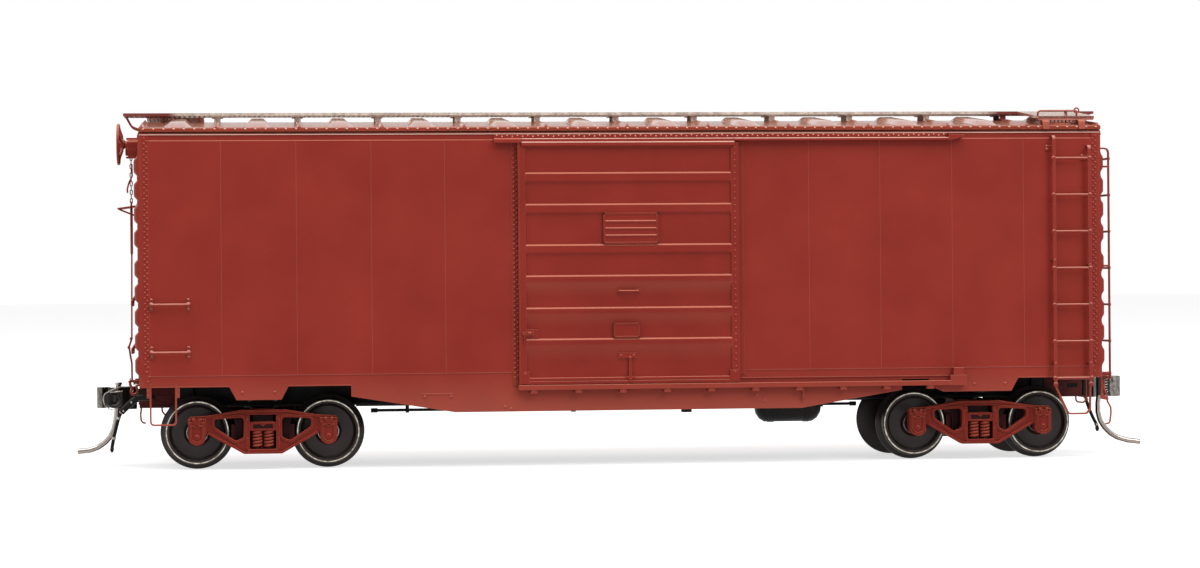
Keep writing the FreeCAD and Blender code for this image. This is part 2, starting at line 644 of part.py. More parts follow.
def make_hand_brake():
    wheel_x = f"-{HALF} - wheel_reach"
    rim = doc.addObject("Part::Torus", "brake_rim")
    rim.Placement = FreeCAD.Placement(FreeCAD.Vector(), LAID[0])
    rim.setExpression("Radius1", bind("brake_radius"))
    rim.setExpression("Radius2", bind("rim_radius"))
    parts = [rim, rod("brake_hub", "3 * rim_radius", ("-2 * rim_radius", "2 * rim_radius"), "0", "0")]
    for i in range(BRAKE_SPOKES):
        spoke = doc.addObject("Part::Cylinder", "brake_spoke")
        spoke.Placement = FreeCAD.Placement(
            FreeCAD.Vector(), FreeCAD.Rotation(FreeCAD.Vector(1, 0, 0), 360 * i / BRAKE_SPOKES))
        spoke.setExpression("Radius", bind("0.8 * rim_radius"))
        spoke.setExpression("Height", bind("brake_radius"))
        parts.append(spoke)
    parts.append(rod("brake_shaft", "1.5 * rim_radius", ("0", "wheel_reach - housing_reach"), "0", "0"))
    wheel = fuse("brake_wheel_whole", parts)
    item = node("brake_wheel", wheel, x=wheel_x, z=f"brake_height + {RIDE}")
    item.setExpression("Placement.Base.y", bind("brake_side"))

    housing_foot = "rib_head + 0.1"
    housing = plate("housing", "YZ", f"-{HALF} - housing_reach", minus(HALF), [
        ("brake_side - 0.9", housing_foot), ("brake_side + 0.9", housing_foot),
        ("brake_side + 1.5", "brake_height - 0.8"), ("brake_side + 1.5", "brake_height + 0.3"),
        ("brake_side + 0.8", "side_top"), ("brake_side - 0.8", "side_top"),
        ("brake_side - 1.5", "brake_height + 0.3"), ("brake_side - 1.5", "brake_height - 0.8")])
    node("brake_housing", housing)

    rod_x = f"-{CREST} - rung_radius"
    chain = rod("brake_chain", "rung_radius", rod_x, "brake_side + 1.1", ("sill_bottom + 0.5", housing_foot))
    crank = plate("bell_crank", "XZ", "brake_side + 0.8", "brake_side + 1.4", [
        (f"-{CREST} - 1.1", "sill_bottom + 0.6"), (f"-{CREST} - 0.6", "sill_bottom + 0.15"),
        (minus(HALF), "sill_bottom + 0.15"), (minus(HALF), "rib_foot - 0.1"),
        (f"-{CREST} - 0.8", "rib_foot - 0.3")])
    lever = plate("slack_lever", "YZ", f"{rod_x} - 2 * rung_radius", f"{rod_x} + rung_radius", [
        ("brake_side + 0.2", "rib_foot + 2.2"), ("brake_side + 1.3", "rib_foot + 2.2"),
        ("brake_side + 1.5", "rib_foot + 6.2"), ("brake_side + 0.9", "rib_foot + 6.2")])
    node("brake_rod", fuse("brake_rod_whole", [chain, crank, lever]))

    tip = f"-{HALF} - step_reach"
    under = "(brake_step - brake_step_wall)"
    tread = box("step_tread", (tip, f"-{CREST} - 2.2 * rung_radius"),
                ("brake_side - brake_step_half", "brake_side + brake_step_half"), (under, "brake_step"))
    brackets = [plate("step_bracket", "XZ", f"brake_side + {low}", f"brake_side + {low} + 0.35", [
        (f"{tip} + 0.4", under), (minus(CREST), f"{under} - 2.1"), (minus(CREST), under)])
        for low in ("0.2 - brake_step_half", "brake_step_half - 0.55")]
    node("brake_step", fuse("brake_step_whole", [tread] + brackets))


# ---------------------------------------------------------------- underframe

def make_underframe():
    end = f"({HALF} - pocket_length)"
    sill = plate("center_sill_bar", "YZ", minus(end), end, [
        ("-flange_half", "center_bottom"), ("flange_half", "center_bottom"),
        ("flange_half", "center_bottom + flange_wall"), ("center_half", "center_bottom + flange_wall"),
        ("center_half", FLOOR_BOTTOM), ("-center_half", FLOOR_BOTTOM),
        ("-center_half", "center_bottom + flange_wall"), ("-flange_half", "center_bottom + flange_wall")])
    node("center_sill", sill)

    def wings(name, half_length, drop, tip_drop):
        tip = f"{SIDE} - sill_wall"
        outline = [("center_half", FLOOR_BOTTOM), ("center_half", f"center_bottom + {drop}"),
                   ("flange_half + 2", f"center_bottom + {drop}"), (tip, f"{FLOOR_BOTTOM} - {tip_drop}"),
                   (tip, FLOOR_BOTTOM)]
        wing = plate(name, "YZ", minus(half_length), half_length, outline)
        return [wing, mirror(name + "_right", wing)]

    bolster = wings("bolster_wing", "bolster_half", "flange_wall + 0.4", "1.4")
    plate_z = ("center_bottom - plate_wall", "center_bottom")
    center_plate = rod("center_plate", "plate_radius", "0", "0", plate_z)
    node("body_bolsters", *[placed("bolster_place", bolster + [center_plate], x=f"{way} * {TRUCK}")
                            for way in (-1, 1)])
    bearer = wings("crossbearer_wing", "bearer_half", "flange_wall + 0.2", "1.0")
    node("crossbearers", *[placed("crossbearer_place", bearer, x=f"{way} * {place}")
                           for place in (INNER_BEARER, OUTER_BEARER) for way in (-1, 1)])
    make_air_gear()
    make_brake_levers()


def make_air_gear():
    """Reservoir and control valve on the right, brake cylinder on the left."""
    tank_start, tank_length = f"({INNER_BEARER} + 0.162 * {BEARER_SPACE})", f"(0.59 * {BEARER_SPACE})"
    shell = rod("tank_shell", "tank_radius", (tank_start, f"{tank_start} + {tank_length}"),
                "tank_side", "tank_height")
    doc.recompute()
    tank = doc.addObject("Part::Fillet", "tank")
    tank.Base = shell
    dome = 0.6 * value("tank_radius")
    tank.Edges = [(i + 1, dome, dome) for i, edge in enumerate(shell.Shape.Edges)
                  if isinstance(edge.Curve, Part.Circle)]
    straps = [box("tank_strap", (f"{tank_start} + {share} * {tank_length}",
                                 f"{tank_start} + {share} * {tank_length} + strap_length"),
                  ("tank_side - 0.6", "tank_side + 0.6"), ("tank_height + tank_radius - 0.3", FLOOR_BOTTOM))
              for share in (0.196, 0.725)]
    node("air_reservoir", fuse("tank_hung", [tank] + straps))

    inner, outer, side = "cylinder_inner", "cylinder_outer", "cylinder_side"
    barrel = rod("cylinder_barrel", "cylinder_radius", (minus(outer), minus(inner)), side, "cylinder_height")
    head = rod("cylinder_head", "1.15 * cylinder_radius", (minus(inner), f"0.8 - {inner}"), side,
               "cylinder_height")
    push = rod("cylinder_push", "pipe_radius", ("-lever_reach", minus(outer)), side, "cylinder_height - 0.6")
    hanger = box("cylinder_hanger", (f"1.5 - {outer}", f"-1.5 - {inner}"), (f"{side} - 0.6", f"{side} + 0.6"),
                 ("cylinder_height + 0.8 * cylinder_radius", FLOOR_BOTTOM))
    node("brake_cylinder", fuse("cylinder_whole", [barrel, head, push, hanger]))

    valve_end, block_low = "(valve_start + valve_length)", "tank_height"
    block = box("valve_block", ("valve_start", valve_end), ("tank_side - 1.2", "tank_side + 1.2"),
                (block_low, FLOOR_BOTTOM))
    caps = [
        rod("valve_cap", "0.95", ("valve_start - 1", f"{valve_end} + 1"), "tank_side", f"{block_low} + 1.1"),
        rod("valve_foot", "0.8", f"(valve_start + {valve_end}) / 2", "tank_side",
            (f"{block_low} - 1.1", f"{block_low} + 0.1")),
    ]
    node("control_valve", fuse("valve_whole", [block] + caps))

    line_y, line_z, branch_x = "flange_half + pipe_radius", "center_bottom - 0.1", "valve_start - 2"
    pipe_end = f"({TRUCK} - bolster_half - 12)"
    pipe = rod("line_pipe", "pipe_radius", (minus(pipe_end), pipe_end), line_y, line_z)
    branch = bent_rod("line_branch", "0.7 * pipe_radius", "0.8", [
        (branch_x, line_y, line_z), (branch_x, "flange_half + 1.6", line_z),
        (branch_x, "flange_half + 1.6", FLOOR_BOTTOM)])
    node("train_line", fuse("line_whole", [pipe, branch]))


def make_brake_levers():
    """A lever across the car at each end of the brake gear, with the rod that leads to its truck."""
    rod_end, hanger_x = f"({TRUCK} - 16.25)", f"({TRUCK} - 21.75)"
    gear = []
    for way, lever_tip in ((-1, "cylinder_side + lever_half"), (1, "0.8 * cylinder_side")):
        y = f"{way} * rod_side"
        brake_rod = bent_rod("brake_rod_long", "rung_radius", "1.0", [
            (f"{way} * {rod_end}", y, "rod_height"), (f"{way} * (lever_reach + 1.5)", y, "rod_height"),
            (f"{way} * lever_reach", y, "rod_height + 0.2")])
        lever = box("brake_lever", (f"{way} * lever_reach - lever_half", f"{way} * lever_reach + lever_half"),
                    ("-rod_side - lever_half", lever_tip), ("lever_bottom", "lever_bottom + lever_wall"))
        hanger = box("rod_hanger", (f"{way} * {hanger_x} - 0.25", f"{way} * {hanger_x} + 0.25"),
                     (f"{y} - 0.5", f"{y} + 0.5"), ("rod_height - lever_half", "center_bottom"))
        gear.append(fuse("levers", [brake_rod, lever, hanger]))
    node("brake_levers", *gear)


def make_end_fittings():
    """Air hoses, uncoupling levers and draft pockets."""
    hose_top = "center_bottom + 1.6"
    strap_y = ("hose_side - 0.4", "hose_side + 0.4")
    cock = rod("angle_cock", "1.2 * hose_radius", (f"{HALF} - 1.5", f"{HALF} + 1.3"), "hose_side", hose_top)
    hanger = box("cock_hanger", (f"{HALF} - 0.8", f"{HALF} - 0.1"), strap_y, (hose_top, "sill_bottom"))
    hose = bent_rod("hose", "hose_radius", "1.2", [
        (f"{HALF} + 0.4", "hose_side", hose_top), (f"{HALF} + 1.9", "hose_side", "center_bottom + 1.0"),
        (f"{HALF} + 3.2", "hose_side", "center_bottom - 3.0"),
        (f"{HALF} + 4.0", "hose_side", "hose_bottom + 0.7")])
    coupling = box("hose_coupling", (f"{HALF} + 3.3", f"{HALF} + 5.0"), strap_y,
                   ("hose_bottom", "hose_bottom + 1.3"))
    node_pair("air_hoses", fuse("air_hose", [cock, hanger, hose, coupling]))

    bar_x, bar_z = f"{HALF} + lift_reach", "coupler_top + lift_rise"
    lever = bent_rod("lift_lever", "rung_radius", "0.5", [
        (f"{bar_x} + 1.2", "-0.6", bar_z), (bar_x, "-2.2", bar_z), (bar_x, "2.6 - lift_tip", bar_z),
        (bar_x, "1.2 - lift_tip", "lift_bottom + 3.8"), (bar_x, "-lift_tip", "lift_bottom + 3.2"),
        (bar_x, "-lift_tip", "lift_bottom")])
    bracket = box("lever_bracket", (CREST, bar_x), ("4.2 - lift_tip", "4.8 - lift_tip"),
                  (f"{bar_z} - 0.3", f"{bar_z} + 0.3"))
    node_pair("uncoupling_levers", fuse("lift_lever_whole", [lever, bracket]))

    low_x, high_x = f"({HALF} - pocket_length)", f"({HALF} + pocket_reach)"
    floor_z, roof_z = "(coupler_bottom + 0.2)", FLOOR_BOTTOM
    inside = "(shank_half + shank_clear)"
    shell = box("pocket_shell", (low_x, high_x), ("-pocket_half", "pocket_half"), (floor_z, "sill_bottom"))
    space = box("pocket_space", (f"{low_x} + pocket_wall", f"{high_x} + pocket_wall"),
                (minus(inside), inside), (f"{floor_z} + pocket_wall", "sill_bottom - pocket_wall"))
    post = rod("pivot_post", "pivot_radius", PIVOT_X, "0", (floor_z, "sill_bottom"))
    seat = box("pocket_seat", (low_x, INSIDE_END), ("-pocket_half", "pocket_half"), ("sill_bottom", roof_z))
    pocket = fuse("pocket", [cut("pocket_hollow", shell, space), post, seat])
    node("coupler_pocket_a", pocket)
    node("coupler_pocket_b", pocket, turned=True)


# ---------------------------------------------------------------- couplers, made for the +X end

PIVOT_X = f"({HALF} - pocket_length + pocket_wall + 1.9)"
KNUCKLE_PIN = (f"({COUPLER_FACE} - 3.2)", "-2.0")
SHANK_LOW, SHANK_HIGH = "9.75", "11.1"
# Head and knuckle seen from above: back from the coupler face, and across
HEAD_OUTLINE = [(5.9, -1.1), (4.9, -1.3), (4.2, -1.1), (3.4, 0.2), (3.1, 1.3), (2.1, 1.9), (1.3, 3.1),
                (1.9, 3.4), (3.6, 2.6), (4.9, 1.3), (5.9, 1.1)]
KNUCKLE_OUTLINE = [(3.8, -2.7), (0.9, -2.55), (0.0, -1.7), (0.1, -0.4), (0.8, 0.2), (1.3, -0.2), (1.2, -1.0),
                   (1.7, -1.35), (3.5, -1.35), (3.9, -1.9)]


def make_couplers():
    head = plate("coupler_head", "XY", "coupler_bottom", "coupler_top",
                 [(f"{COUPLER_FACE} - {back}", str(across)) for back, across in HEAD_OUTLINE])
    shank = box("shank", (f"{PIVOT_X} - 1.4", f"{COUPLER_FACE} - 5.0"), ("-shank_half", "shank_half"),
                (SHANK_LOW, SHANK_HIGH))
    shank_eye = rod("shank_eye", "pivot_radius + 0.9", PIVOT_X, "0", (SHANK_LOW, SHANK_HIGH))
    eye_hole = rod("eye_hole", "pivot_radius + pivot_clear", PIVOT_X, "0", ("coupler_bottom", "coupler_top"))
    coupler = cut("coupler_whole", fuse("coupler_solid", [head, shank, shank_eye]), eye_hole)
    knuckle = plate("knuckle", "XY", "coupler_bottom + 0.15", "coupler_top - 0.1",
                    [(f"{COUPLER_FACE} - {back}", str(across)) for back, across in KNUCKLE_OUTLINE])
    pin_x, pin_y = KNUCKLE_PIN
    pin = bent_rod("trip_pin_wire", "pin_radius", "3.2", [
        (pin_x, pin_y, "coupler_bottom + 0.12"), (f"{pin_x} + 0.4", pin_y, "4.0"),
        (f"{pin_x} + 6.5", pin_y, "2.2")])
    for label, part in (("coupler", coupler), ("knuckle", knuckle), ("trip_pin", pin)):
        node(label + "_a", part)
        node(label + "_b", part, turned=True)


# ---------------------------------------------------------------- trucks, made about their own centre

def make_truck_parts():
    axle = "wheelbase / 2"
    right = [("3.2", "8.85"), ("6.0", "8.35"), (f"{axle} - 1.2", "8.0"), (f"{axle} + 1.0", "8.0"),
             (f"{axle} + 1.45", "7.6"), (f"{axle} + 1.45", "3.7"), (f"{axle} - 1.35", "3.7"),
             (f"{axle} - 2.15", "5.4"), ("2.95", "2.35")]
    left = [(minus(x), z) for x, z in reversed(right)]
    center_hole = [("-2.05", "spring_seat"), ("2.05", "spring_seat"), ("2.05", "8.1"), ("-2.05", "8.1")]
    window = [("2.75", "7.8"), ("3.4", "4.2"), (f"{axle} - 2.7", "6.8")]
    frame = plate("frame_plate", "XZ", "frame_inner", "frame_inner + frame_wall", right + left,
                  center_hole, window, [(minus(x), z) for x, z in reversed(window)])
    boxes = [box("journal_box", (f"{way} * {axle} - 1.3", f"{way} * {axle} + 1.3"),
                 ("frame_inner + frame_wall / 2", "frame_inner + frame_wall + box_reach"), ("3.7", "7.6"))
             for way in (-1, 1)]
    solid = fuse("frame_solid", [frame] + boxes)
    holes = fuse("journal_holes", [
        rod("journal_hole", "journal_radius + journal_clear", f"{way} * {axle}",
            ("frame_inner - 0.1", "frame_inner + frame_wall"), "axle_datum") for way in (-1, 1)])
    side_frame = cut("side_frame", solid, holes)
    frames = [side_frame, mirror("side_frame_right", side_frame)]

    tip = "(frame_inner + frame_wall - 0.1)"
    neck = "frame_inner - 1"
    bolster = plate("truck_bolster", "YZ", "-bolster_wall", "bolster_wall", [
        (minus(tip), "spring_top"), (minus(neck), "spring_top"), ("-4", "4.6"), ("4", "4.6"),
        (neck, "spring_top"), (tip, "spring_top"), (tip, "7.0"), (neck, "7.2"), ("4", "7.9"),
        ("3", "bolster_top"), ("-3", "bolster_top"), ("-4", "7.9"), (minus(neck), "7.2"),
        (minus(tip), "7.0")])
    spring_y = "(frame_inner + frame_wall / 2)"
    springs = [rod("spring", "spring_radius", f"{end} * spring_shift", f"{way} * {spring_y}",
                   ("spring_seat", "spring_top")) for end in (-1, 1) for way in (-1, 1)]
    beam_face = f"({axle} - wheel_tread / 2 - flange_height - beam_clear)"
    beam_back = f"({beam_face} - beam_wall)"
    beam = box("brake_beam", (beam_back, beam_face), ("-beam_half", "beam_half"),
               ("axle_datum - 0.95", "axle_datum - 0.15"))
    strut = box("beam_strut", ("bolster_wall", beam_back), ("-0.4", "0.4"),
                ("axle_datum - 0.75", "axle_datum - 0.25"))
    shoes = [box("brake_shoe", (f"{beam_face} - 0.1", f"{axle} - wheel_tread / 2 - shoe_clear"),
                 (f"{way} * shoe_side - shoe_half", f"{way} * shoe_side + shoe_half"),
                 ("axle_datum - 1.55", "axle_datum + 1.15")) for way in (-1, 1)]
    beams = fuse("brake_beam_whole", [beam, strut] + shoes)
    return {
        "side_frames": frames,
        "bolster": [bolster],
        "springs": springs,
        "brake_beams": [beams, mirror("brake_beam_other", beams, (1, 0, 0))],
    }


def make_wheelset_parts():
    tread, flange = "wheel_tread / 2", "(wheel_tread / 2 + flange_height)"
    back, face = "back_to_back / 2", "(back_to_back / 2 + wheel_width)"
    wheel = turning("wheel", [
        (back, "axle_radius"), (back, f"{flange} - 0.3"), (f"{back} + 0.2", flange),
        (f"{back} + 0.5", flange),
        (f"{back} + 0.8", f"{tread} + 0.04"), (face, f"{tread} - 0.04"), (face, f"{tread} - 0.5"),
        (f"{face} - 0.8", f"{tread} - 0.75"), (f"{face} - 0.95", "axle_radius + 1.2"),
        (f"{face} - 0.3", "axle_radius + 0.55"), (f"{face} - 0.2", "axle_radius")])
    seat = f"({face} + 0.3)"
    tip = "(frame_inner + frame_wall - journal_clear)"
    core = rod("axle_core", "axle_radius", "0", (minus(seat), seat), "0")
    ends = rod("axle_ends", "journal_radius", "0", (minus(tip), tip), "0")
    return {"axle": [fuse("axle", [core, ends])], "wheels": [wheel, mirror("wheel_right", wheel)]}


def make_trucks():
    truck_parts, wheelset_parts = make_truck_parts(), make_wheelset_parts()
    for truck, way in (("b", -1), ("a", 1)):
        for name, parts in truck_parts.items():
            node(f"truck_{truck}_{name}", *parts, x=f"{way} * {TRUCK}")
        for number, shift in ((1, way), (2, -way)):
            for name, parts in wheelset_parts.items():
                node(f"wheelset_{truck}{number}_{name}", *parts,
                     x=f"{way} * {TRUCK} + {shift} * wheelbase / 2", z=AXLE_HEIGHT)


def write_parts():
    """Check every object and write each sub-part to its own file."""
    doc.recompute()
    for item in doc.Objects:
        faults = {"Invalid", "Error"} & set(item.State)
        if faults:
            raise RuntimeError(f"{item.Name} is {faults}")
    os.makedirs("parts", exist_ok=True)
    for item in NODES:
        if item.Shape.isNull() or not item.Shape.isValid():
            raise RuntimeError(f"{item.Label} has no valid shape")
        item.Shape.exportStep(f"parts/{item.Label}.step")
    print(len(NODES), "sub-parts written")


make_sides()
make_side_sills()
make_ends()
make_roof()
make_floor()
make_doors()
make_door_tracks()
make_roof_walk()
make_ladders()
make_grab_irons()
make_sill_steps()
make_hand_brake()
make_underframe()
make_end_fittings()
make_couplers()
make_trucks()
write_parts()
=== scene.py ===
"""Railroad boxcar of model size, dressed around its CAD frame.

Frame: +X along the car, +Z up, origin under the middle of the car at the height that the wheel
flanges stand on. Shapes are made in millimetres and written in metres. Pieces that both sides or
both ends share are made once, for the right side (-Y) or the +X end, and copied by a half turn
about Z.
"""
import math
import bmesh
import bpy
from mathutils import Matrix, Vector


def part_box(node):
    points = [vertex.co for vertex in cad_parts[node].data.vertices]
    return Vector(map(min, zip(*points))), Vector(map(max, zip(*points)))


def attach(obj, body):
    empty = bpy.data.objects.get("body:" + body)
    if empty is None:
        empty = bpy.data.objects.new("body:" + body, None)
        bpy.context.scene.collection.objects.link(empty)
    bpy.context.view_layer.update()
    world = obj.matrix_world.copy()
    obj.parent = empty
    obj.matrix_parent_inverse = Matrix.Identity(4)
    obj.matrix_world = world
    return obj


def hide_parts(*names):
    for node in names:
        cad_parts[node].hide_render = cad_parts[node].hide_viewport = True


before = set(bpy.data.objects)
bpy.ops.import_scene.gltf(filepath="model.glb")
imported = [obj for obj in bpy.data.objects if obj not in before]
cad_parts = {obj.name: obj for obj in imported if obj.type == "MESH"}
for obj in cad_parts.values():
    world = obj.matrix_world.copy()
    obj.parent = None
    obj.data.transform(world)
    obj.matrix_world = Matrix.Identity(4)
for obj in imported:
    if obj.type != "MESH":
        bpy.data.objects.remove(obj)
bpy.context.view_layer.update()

MM = 0.001
AXES = "xyz"


def span(node, axis):
    """Lowest and highest place of a CAD node along an axis, in millimetres."""
    low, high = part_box(node)
    place = AXES.index(axis)
    return low[place] / MM, high[place] / MM


# ---------------------------------------------------------------- sizes, in millimetres

SIDE = -span("side_right", "y")[0]
INSIDE_END = span("side_right", "x")[1]
SILL_TOP, SIDE_TOP = span("side_right", "z")
WALL_TOP = SIDE_TOP + 0.26
SILL_BOTTOM = span("end_plain", "z")[0]
OUT = (0, -1, 0)
CREST = span("end_plain", "x")[1]
RIB_DEPTH = 0.65
HALF = CREST - RIB_DEPTH
ROOF_END = span("roof", "x")[1]
EAVE = -span("roof", "y")[0]
RIDGE = span("roof", "z")[1]
EAVE_BOTTOM, EAVE_TOP = 49.46, 49.98
ROOF_SLOPE = (RIDGE - EAVE_TOP) / EAVE
WALK_END = span("running_board", "x")[1]
WALK_HALF = span("running_board", "y")[1]
WALK_LOW, WALK_HIGH = span("running_board", "z")
DOOR_HALF = span("door_right", "x")[1]
DOOR_FACE, DOOR_BACK = (-y for y in span("door_right", "y"))
DOOR_LOW, DOOR_HIGH = span("door_right", "z")
TRACK_FACE = -span("door_tracks_lower", "y")[0]
TRACK_END = span("door_tracks_lower", "x")[1]
UPPER_LOW, UPPER_HIGH = span("door_tracks_upper", "z")
LEDGE_LOW = span("door_tracks_lower", "z")[0]
FLOOR_BOTTOM = span("floor", "z")[0]
TRUCK = sum(span("truck_a_bolster", "x")) / 2
AXLE = sum(span("wheelset_a1_axle", "x")) / 2 - TRUCK
AXLE_HEIGHT = sum(span("wheelset_a1_axle", "z")) / 2
SEAM_PITCH = 12.03
ROOF_SEAMS = [i * SEAM_PITCH for i in range(-5, 6)]


# ---------------------------------------------------------------- shapes

def place(axis, along, u, v):
    """Point at u, v in the plane across an axis."""
    return {"x": (along, u, v), "y": (u, along, v), "z": (u, v, along)}[axis]


def rounded(outline, radius, closed=True, steps=4):
    """Outline or path with its corners rounded."""
    count, points = len(outline), []
    for i, corner in enumerate(outline):
        corner = Vector(corner)
        if not closed and i in (0, count - 1):
            points.append(corner)
            continue
        before, after = Vector(outline[i - 1]) - corner, Vector(outline[(i + 1) % count]) - corner
        half_angle = before.angle(after) / 2
        if half_angle > 1.55:
            points.append(corner)
            continue
        reach = min(radius / math.tan(half_angle), 0.48 * before.length, 0.48 * after.length)
        start, end = corner + before.normalized() * reach, corner + after.normalized() * reach
        for step in range(steps + 1):
            t = step / steps
            points.append(start * (1 - t) ** 2 + corner * 2 * t * (1 - t) + end * t ** 2)
    return points


def offset_line(path, distance, closed=False):
    """Flat path moved sideways, to its left for a positive distance."""
    points, count = [Vector(p).to_2d() for p in path], len(path)
    result = []
    for i, point in enumerate(points):
        before = points[i - 1] if closed or i else None
        after = points[(i + 1) % count] if closed or i < count - 1 else None
        normals = []
        for a, b in ((before, point), (point, after)):
            if a is not None and b is not None and (b - a).length > 1e-9:
                run = (b - a).normalized()
                normals.append(Vector((-run.y, run.x)))
        normal = sum(normals, Vector((0, 0)))
        normal.normalize()
        result.append(point + normal * distance / max(0.35, normal.dot(normals[0])))
    return result


def band(path, thickness):
    """Closed outline of a strip that follows a flat path."""
    return offset_line(path, thickness / 2) + offset_line(path, -thickness / 2)[::-1]


def arc(centre, radius, start, end, steps=8):
    """Points on a flat arc, angles in degrees."""
    angles = [math.radians(start + (end - start) * i / steps) for i in range(steps + 1)]
    return [(centre[0] + radius * math.cos(a), centre[1] + radius * math.sin(a)) for a in angles]


class Form:
    """Closed shapes that together become one piece."""

    def __init__(self):
        self.points, self.faces = [], []

    def add(self, points, faces):
        base = len(self.points)
        self.points += [Vector(point) for point in points]
        self.faces += [[base + i for i in face] for face in faces]
        return self

    def rings(self, rings, closed=False):
        """Skin over rings of points, with its ends capped unless it closes on itself."""
        count, total = len(rings[0]), len(rings)
        faces = []
        for i in range(total if closed else total - 1):
            a, b = i * count, (i + 1) % total * count
            faces += [(a + j, a + (j + 1) % count, b + (j + 1) % count, b + j) for j in range(count)]
        if not closed:
            faces += [range(count), range((total - 1) * count, total * count)]
        return self.add([point for ring in rings for point in ring], faces)

    def prism(self, outline, axis, low, high):
        """Outline swept straight along an axis."""
        return self.rings([[place(axis, along, u, v) for u, v in outline] for along in (low, high)])

    def box(self, x, y, z):
        return self.prism([(y[0], z[0]), (y[1], z[0]), (y[1], z[1]), (y[0], z[1])], "x", *x)

    def tube(self, path, radius, sides=8, squash=1.0):
        """Bar of round or flattened section along a path."""
        points = [Vector(point) for point in path]
        runs = [(b - a).normalized() for a, b in zip(points, points[1:])]
        heads = [runs[0]] + [(a + b).normalized() for a, b in zip(runs, runs[1:])] + [runs[-1]]
        across = heads[0].orthogonal().normalized()
        rings = []
        for point, head in zip(points, heads):
            across = (across - head * across.dot(head)).normalized()
            other = head.cross(across)
            rings.append([point + radius * (math.cos(a) * across + squash * math.sin(a) * other)
                          for a in (2 * math.pi * i / sides for i in range(sides))])
        return self.rings(rings)

    def turn(self, profile, centre, axis="y", steps=32, closed=False):
        """Profile of (along, radius) turned about an axis through the centre."""
        rings = []
        for along, radius in profile:
            ring = [place(axis, along, radius * math.cos(a), radius * math.sin(a))
                    for a in (2 * math.pi * i / steps for i in range(steps))]
            rings.append([Vector(centre) + Vector(point) for point in ring])
        return self.rings(rings, closed)

    def dome(self, centre, normal, radius, height=None, sides=8):
        """Rivet or bolt head standing on a face."""
        normal = Vector(normal).normalized()
        height = 0.6 * radius if height is None else height
        across = normal.orthogonal().normalized()
        other = normal.cross(across)
        rings = []
        for rise, share in ((-0.25, 1.0), (0.45, 0.92), (0.85, 0.6), (1.0, 0.2)):
            rings.append([Vector(centre) + normal * height * rise
                          + radius * share * (math.cos(a) * across + math.sin(a) * other)
                          for a in (2 * math.pi * i / sides for i in range(sides))])
        return self.rings(rings)

    def row(self, places, normal, radius, sides=8):
        """Rivets at the given places."""
        for centre in places:
            self.dome(centre, normal, radius, sides=sides)
        return self

    def plate(self, outlines, axis, low, high, bevel=0.0):
        """Plate with holes: the first outline is its edge, the others are cut out of it."""
        curve = bpy.data.curves.new("outline", "CURVE")
        curve.dimensions, curve.fill_mode = "2D", "BOTH"
        curve.extrude = max(0.0, (high - low) / 2 - bevel)
        curve.bevel_depth, curve.bevel_resolution = bevel, 2
        for number, outline in enumerate(outlines):
            flat = [Vector(point).to_2d() for point in outline]
            if bevel:
                sense = sum(a.cross(b) for a, b in zip(flat, flat[1:] + flat[:1]))
                inward = bevel if (sense > 0) == (number == 0) else -bevel
                flat = offset_line(flat, inward, closed=True)
            spline = curve.splines.new("POLY")
            spline.points.add(len(flat) - 1)
            for target, point in zip(spline.points, flat):
                target.co = (point.x, point.y, 0, 1)
            spline.use_cyclic_u = True
        item = bpy.data.objects.new("outline", curve)
        mesh = bpy.data.meshes.new_from_object(item)
        tool = bmesh.new()
        tool.from_mesh(mesh)
        bmesh.ops.remove_doubles(tool, verts=tool.verts, dist=1e-5)
        middle = (low + high) / 2
        points = [place(axis, middle + vertex.co.z, vertex.co.x, vertex.co.y) for vertex in tool.verts]
        tool.verts.index_update()
        self.add(points, [[vertex.index for vertex in face.verts] for face in tool.faces])
        tool.free()
        bpy.data.objects.remove(item)
        bpy.data.meshes.remove(mesh)
        bpy.data.curves.remove(curve)
        return self

    def moved(self, matrix):
        copy = Form()
        copy.points = [matrix @ point for point in self.points]
        copy.faces = [list(face) for face in self.faces]
        return copy

    def shifted(self, x=0, y=0, z=0):
        return self.moved(Matrix.Translation((x, y, z)))

    def turned(self):
        """Copy turned half round about Z."""
        return self.moved(Matrix.Rotation(math.pi, 4, "Z"))

    def copied(self):
        return self.shifted()

    def join(self, *others):
        for other in others:
            self.add(other.points, other.faces)
        return self

    def both(self):
        """The shape and its copy, turned half round."""
        return Form().join(self, self.turned())


SIDES = (("right", Form.copied), ("left", Form.turned))
ENDS = (("a", Form.copied), ("b", Form.turned))


def ring(centre, radius, section, axis, steps_round=32, sides=8, stretch=0.0):
    """Round or long link; the stretch lengthens it along its plane's second direction."""
    rings = []
    for a in (2 * math.pi * i / steps_round for i in range(steps_round)):
        loop = []
        for b in (2 * math.pi * k / sides for k in range(sides)):
            reach = radius + section * math.cos(b)
            u, v = reach * math.cos(a), reach * math.sin(a) + math.copysign(stretch, math.sin(a))
            loop.append(Vector(centre) + Vector(place(axis, section * math.sin(b), u, v)))
        rings.append(loop)
    return Form().rings(rings, closed=True)


# ---------------------------------------------------------------- materials

def linear(red, green, blue):
    """Colour from its usual 0 to 255 values."""
    def channel(c):
        c /= 255
        return c / 12.92 if c <= 0.04045 else ((c + 0.055) / 1.055) ** 2.4
    return channel(red), channel(green), channel(blue), 1.0


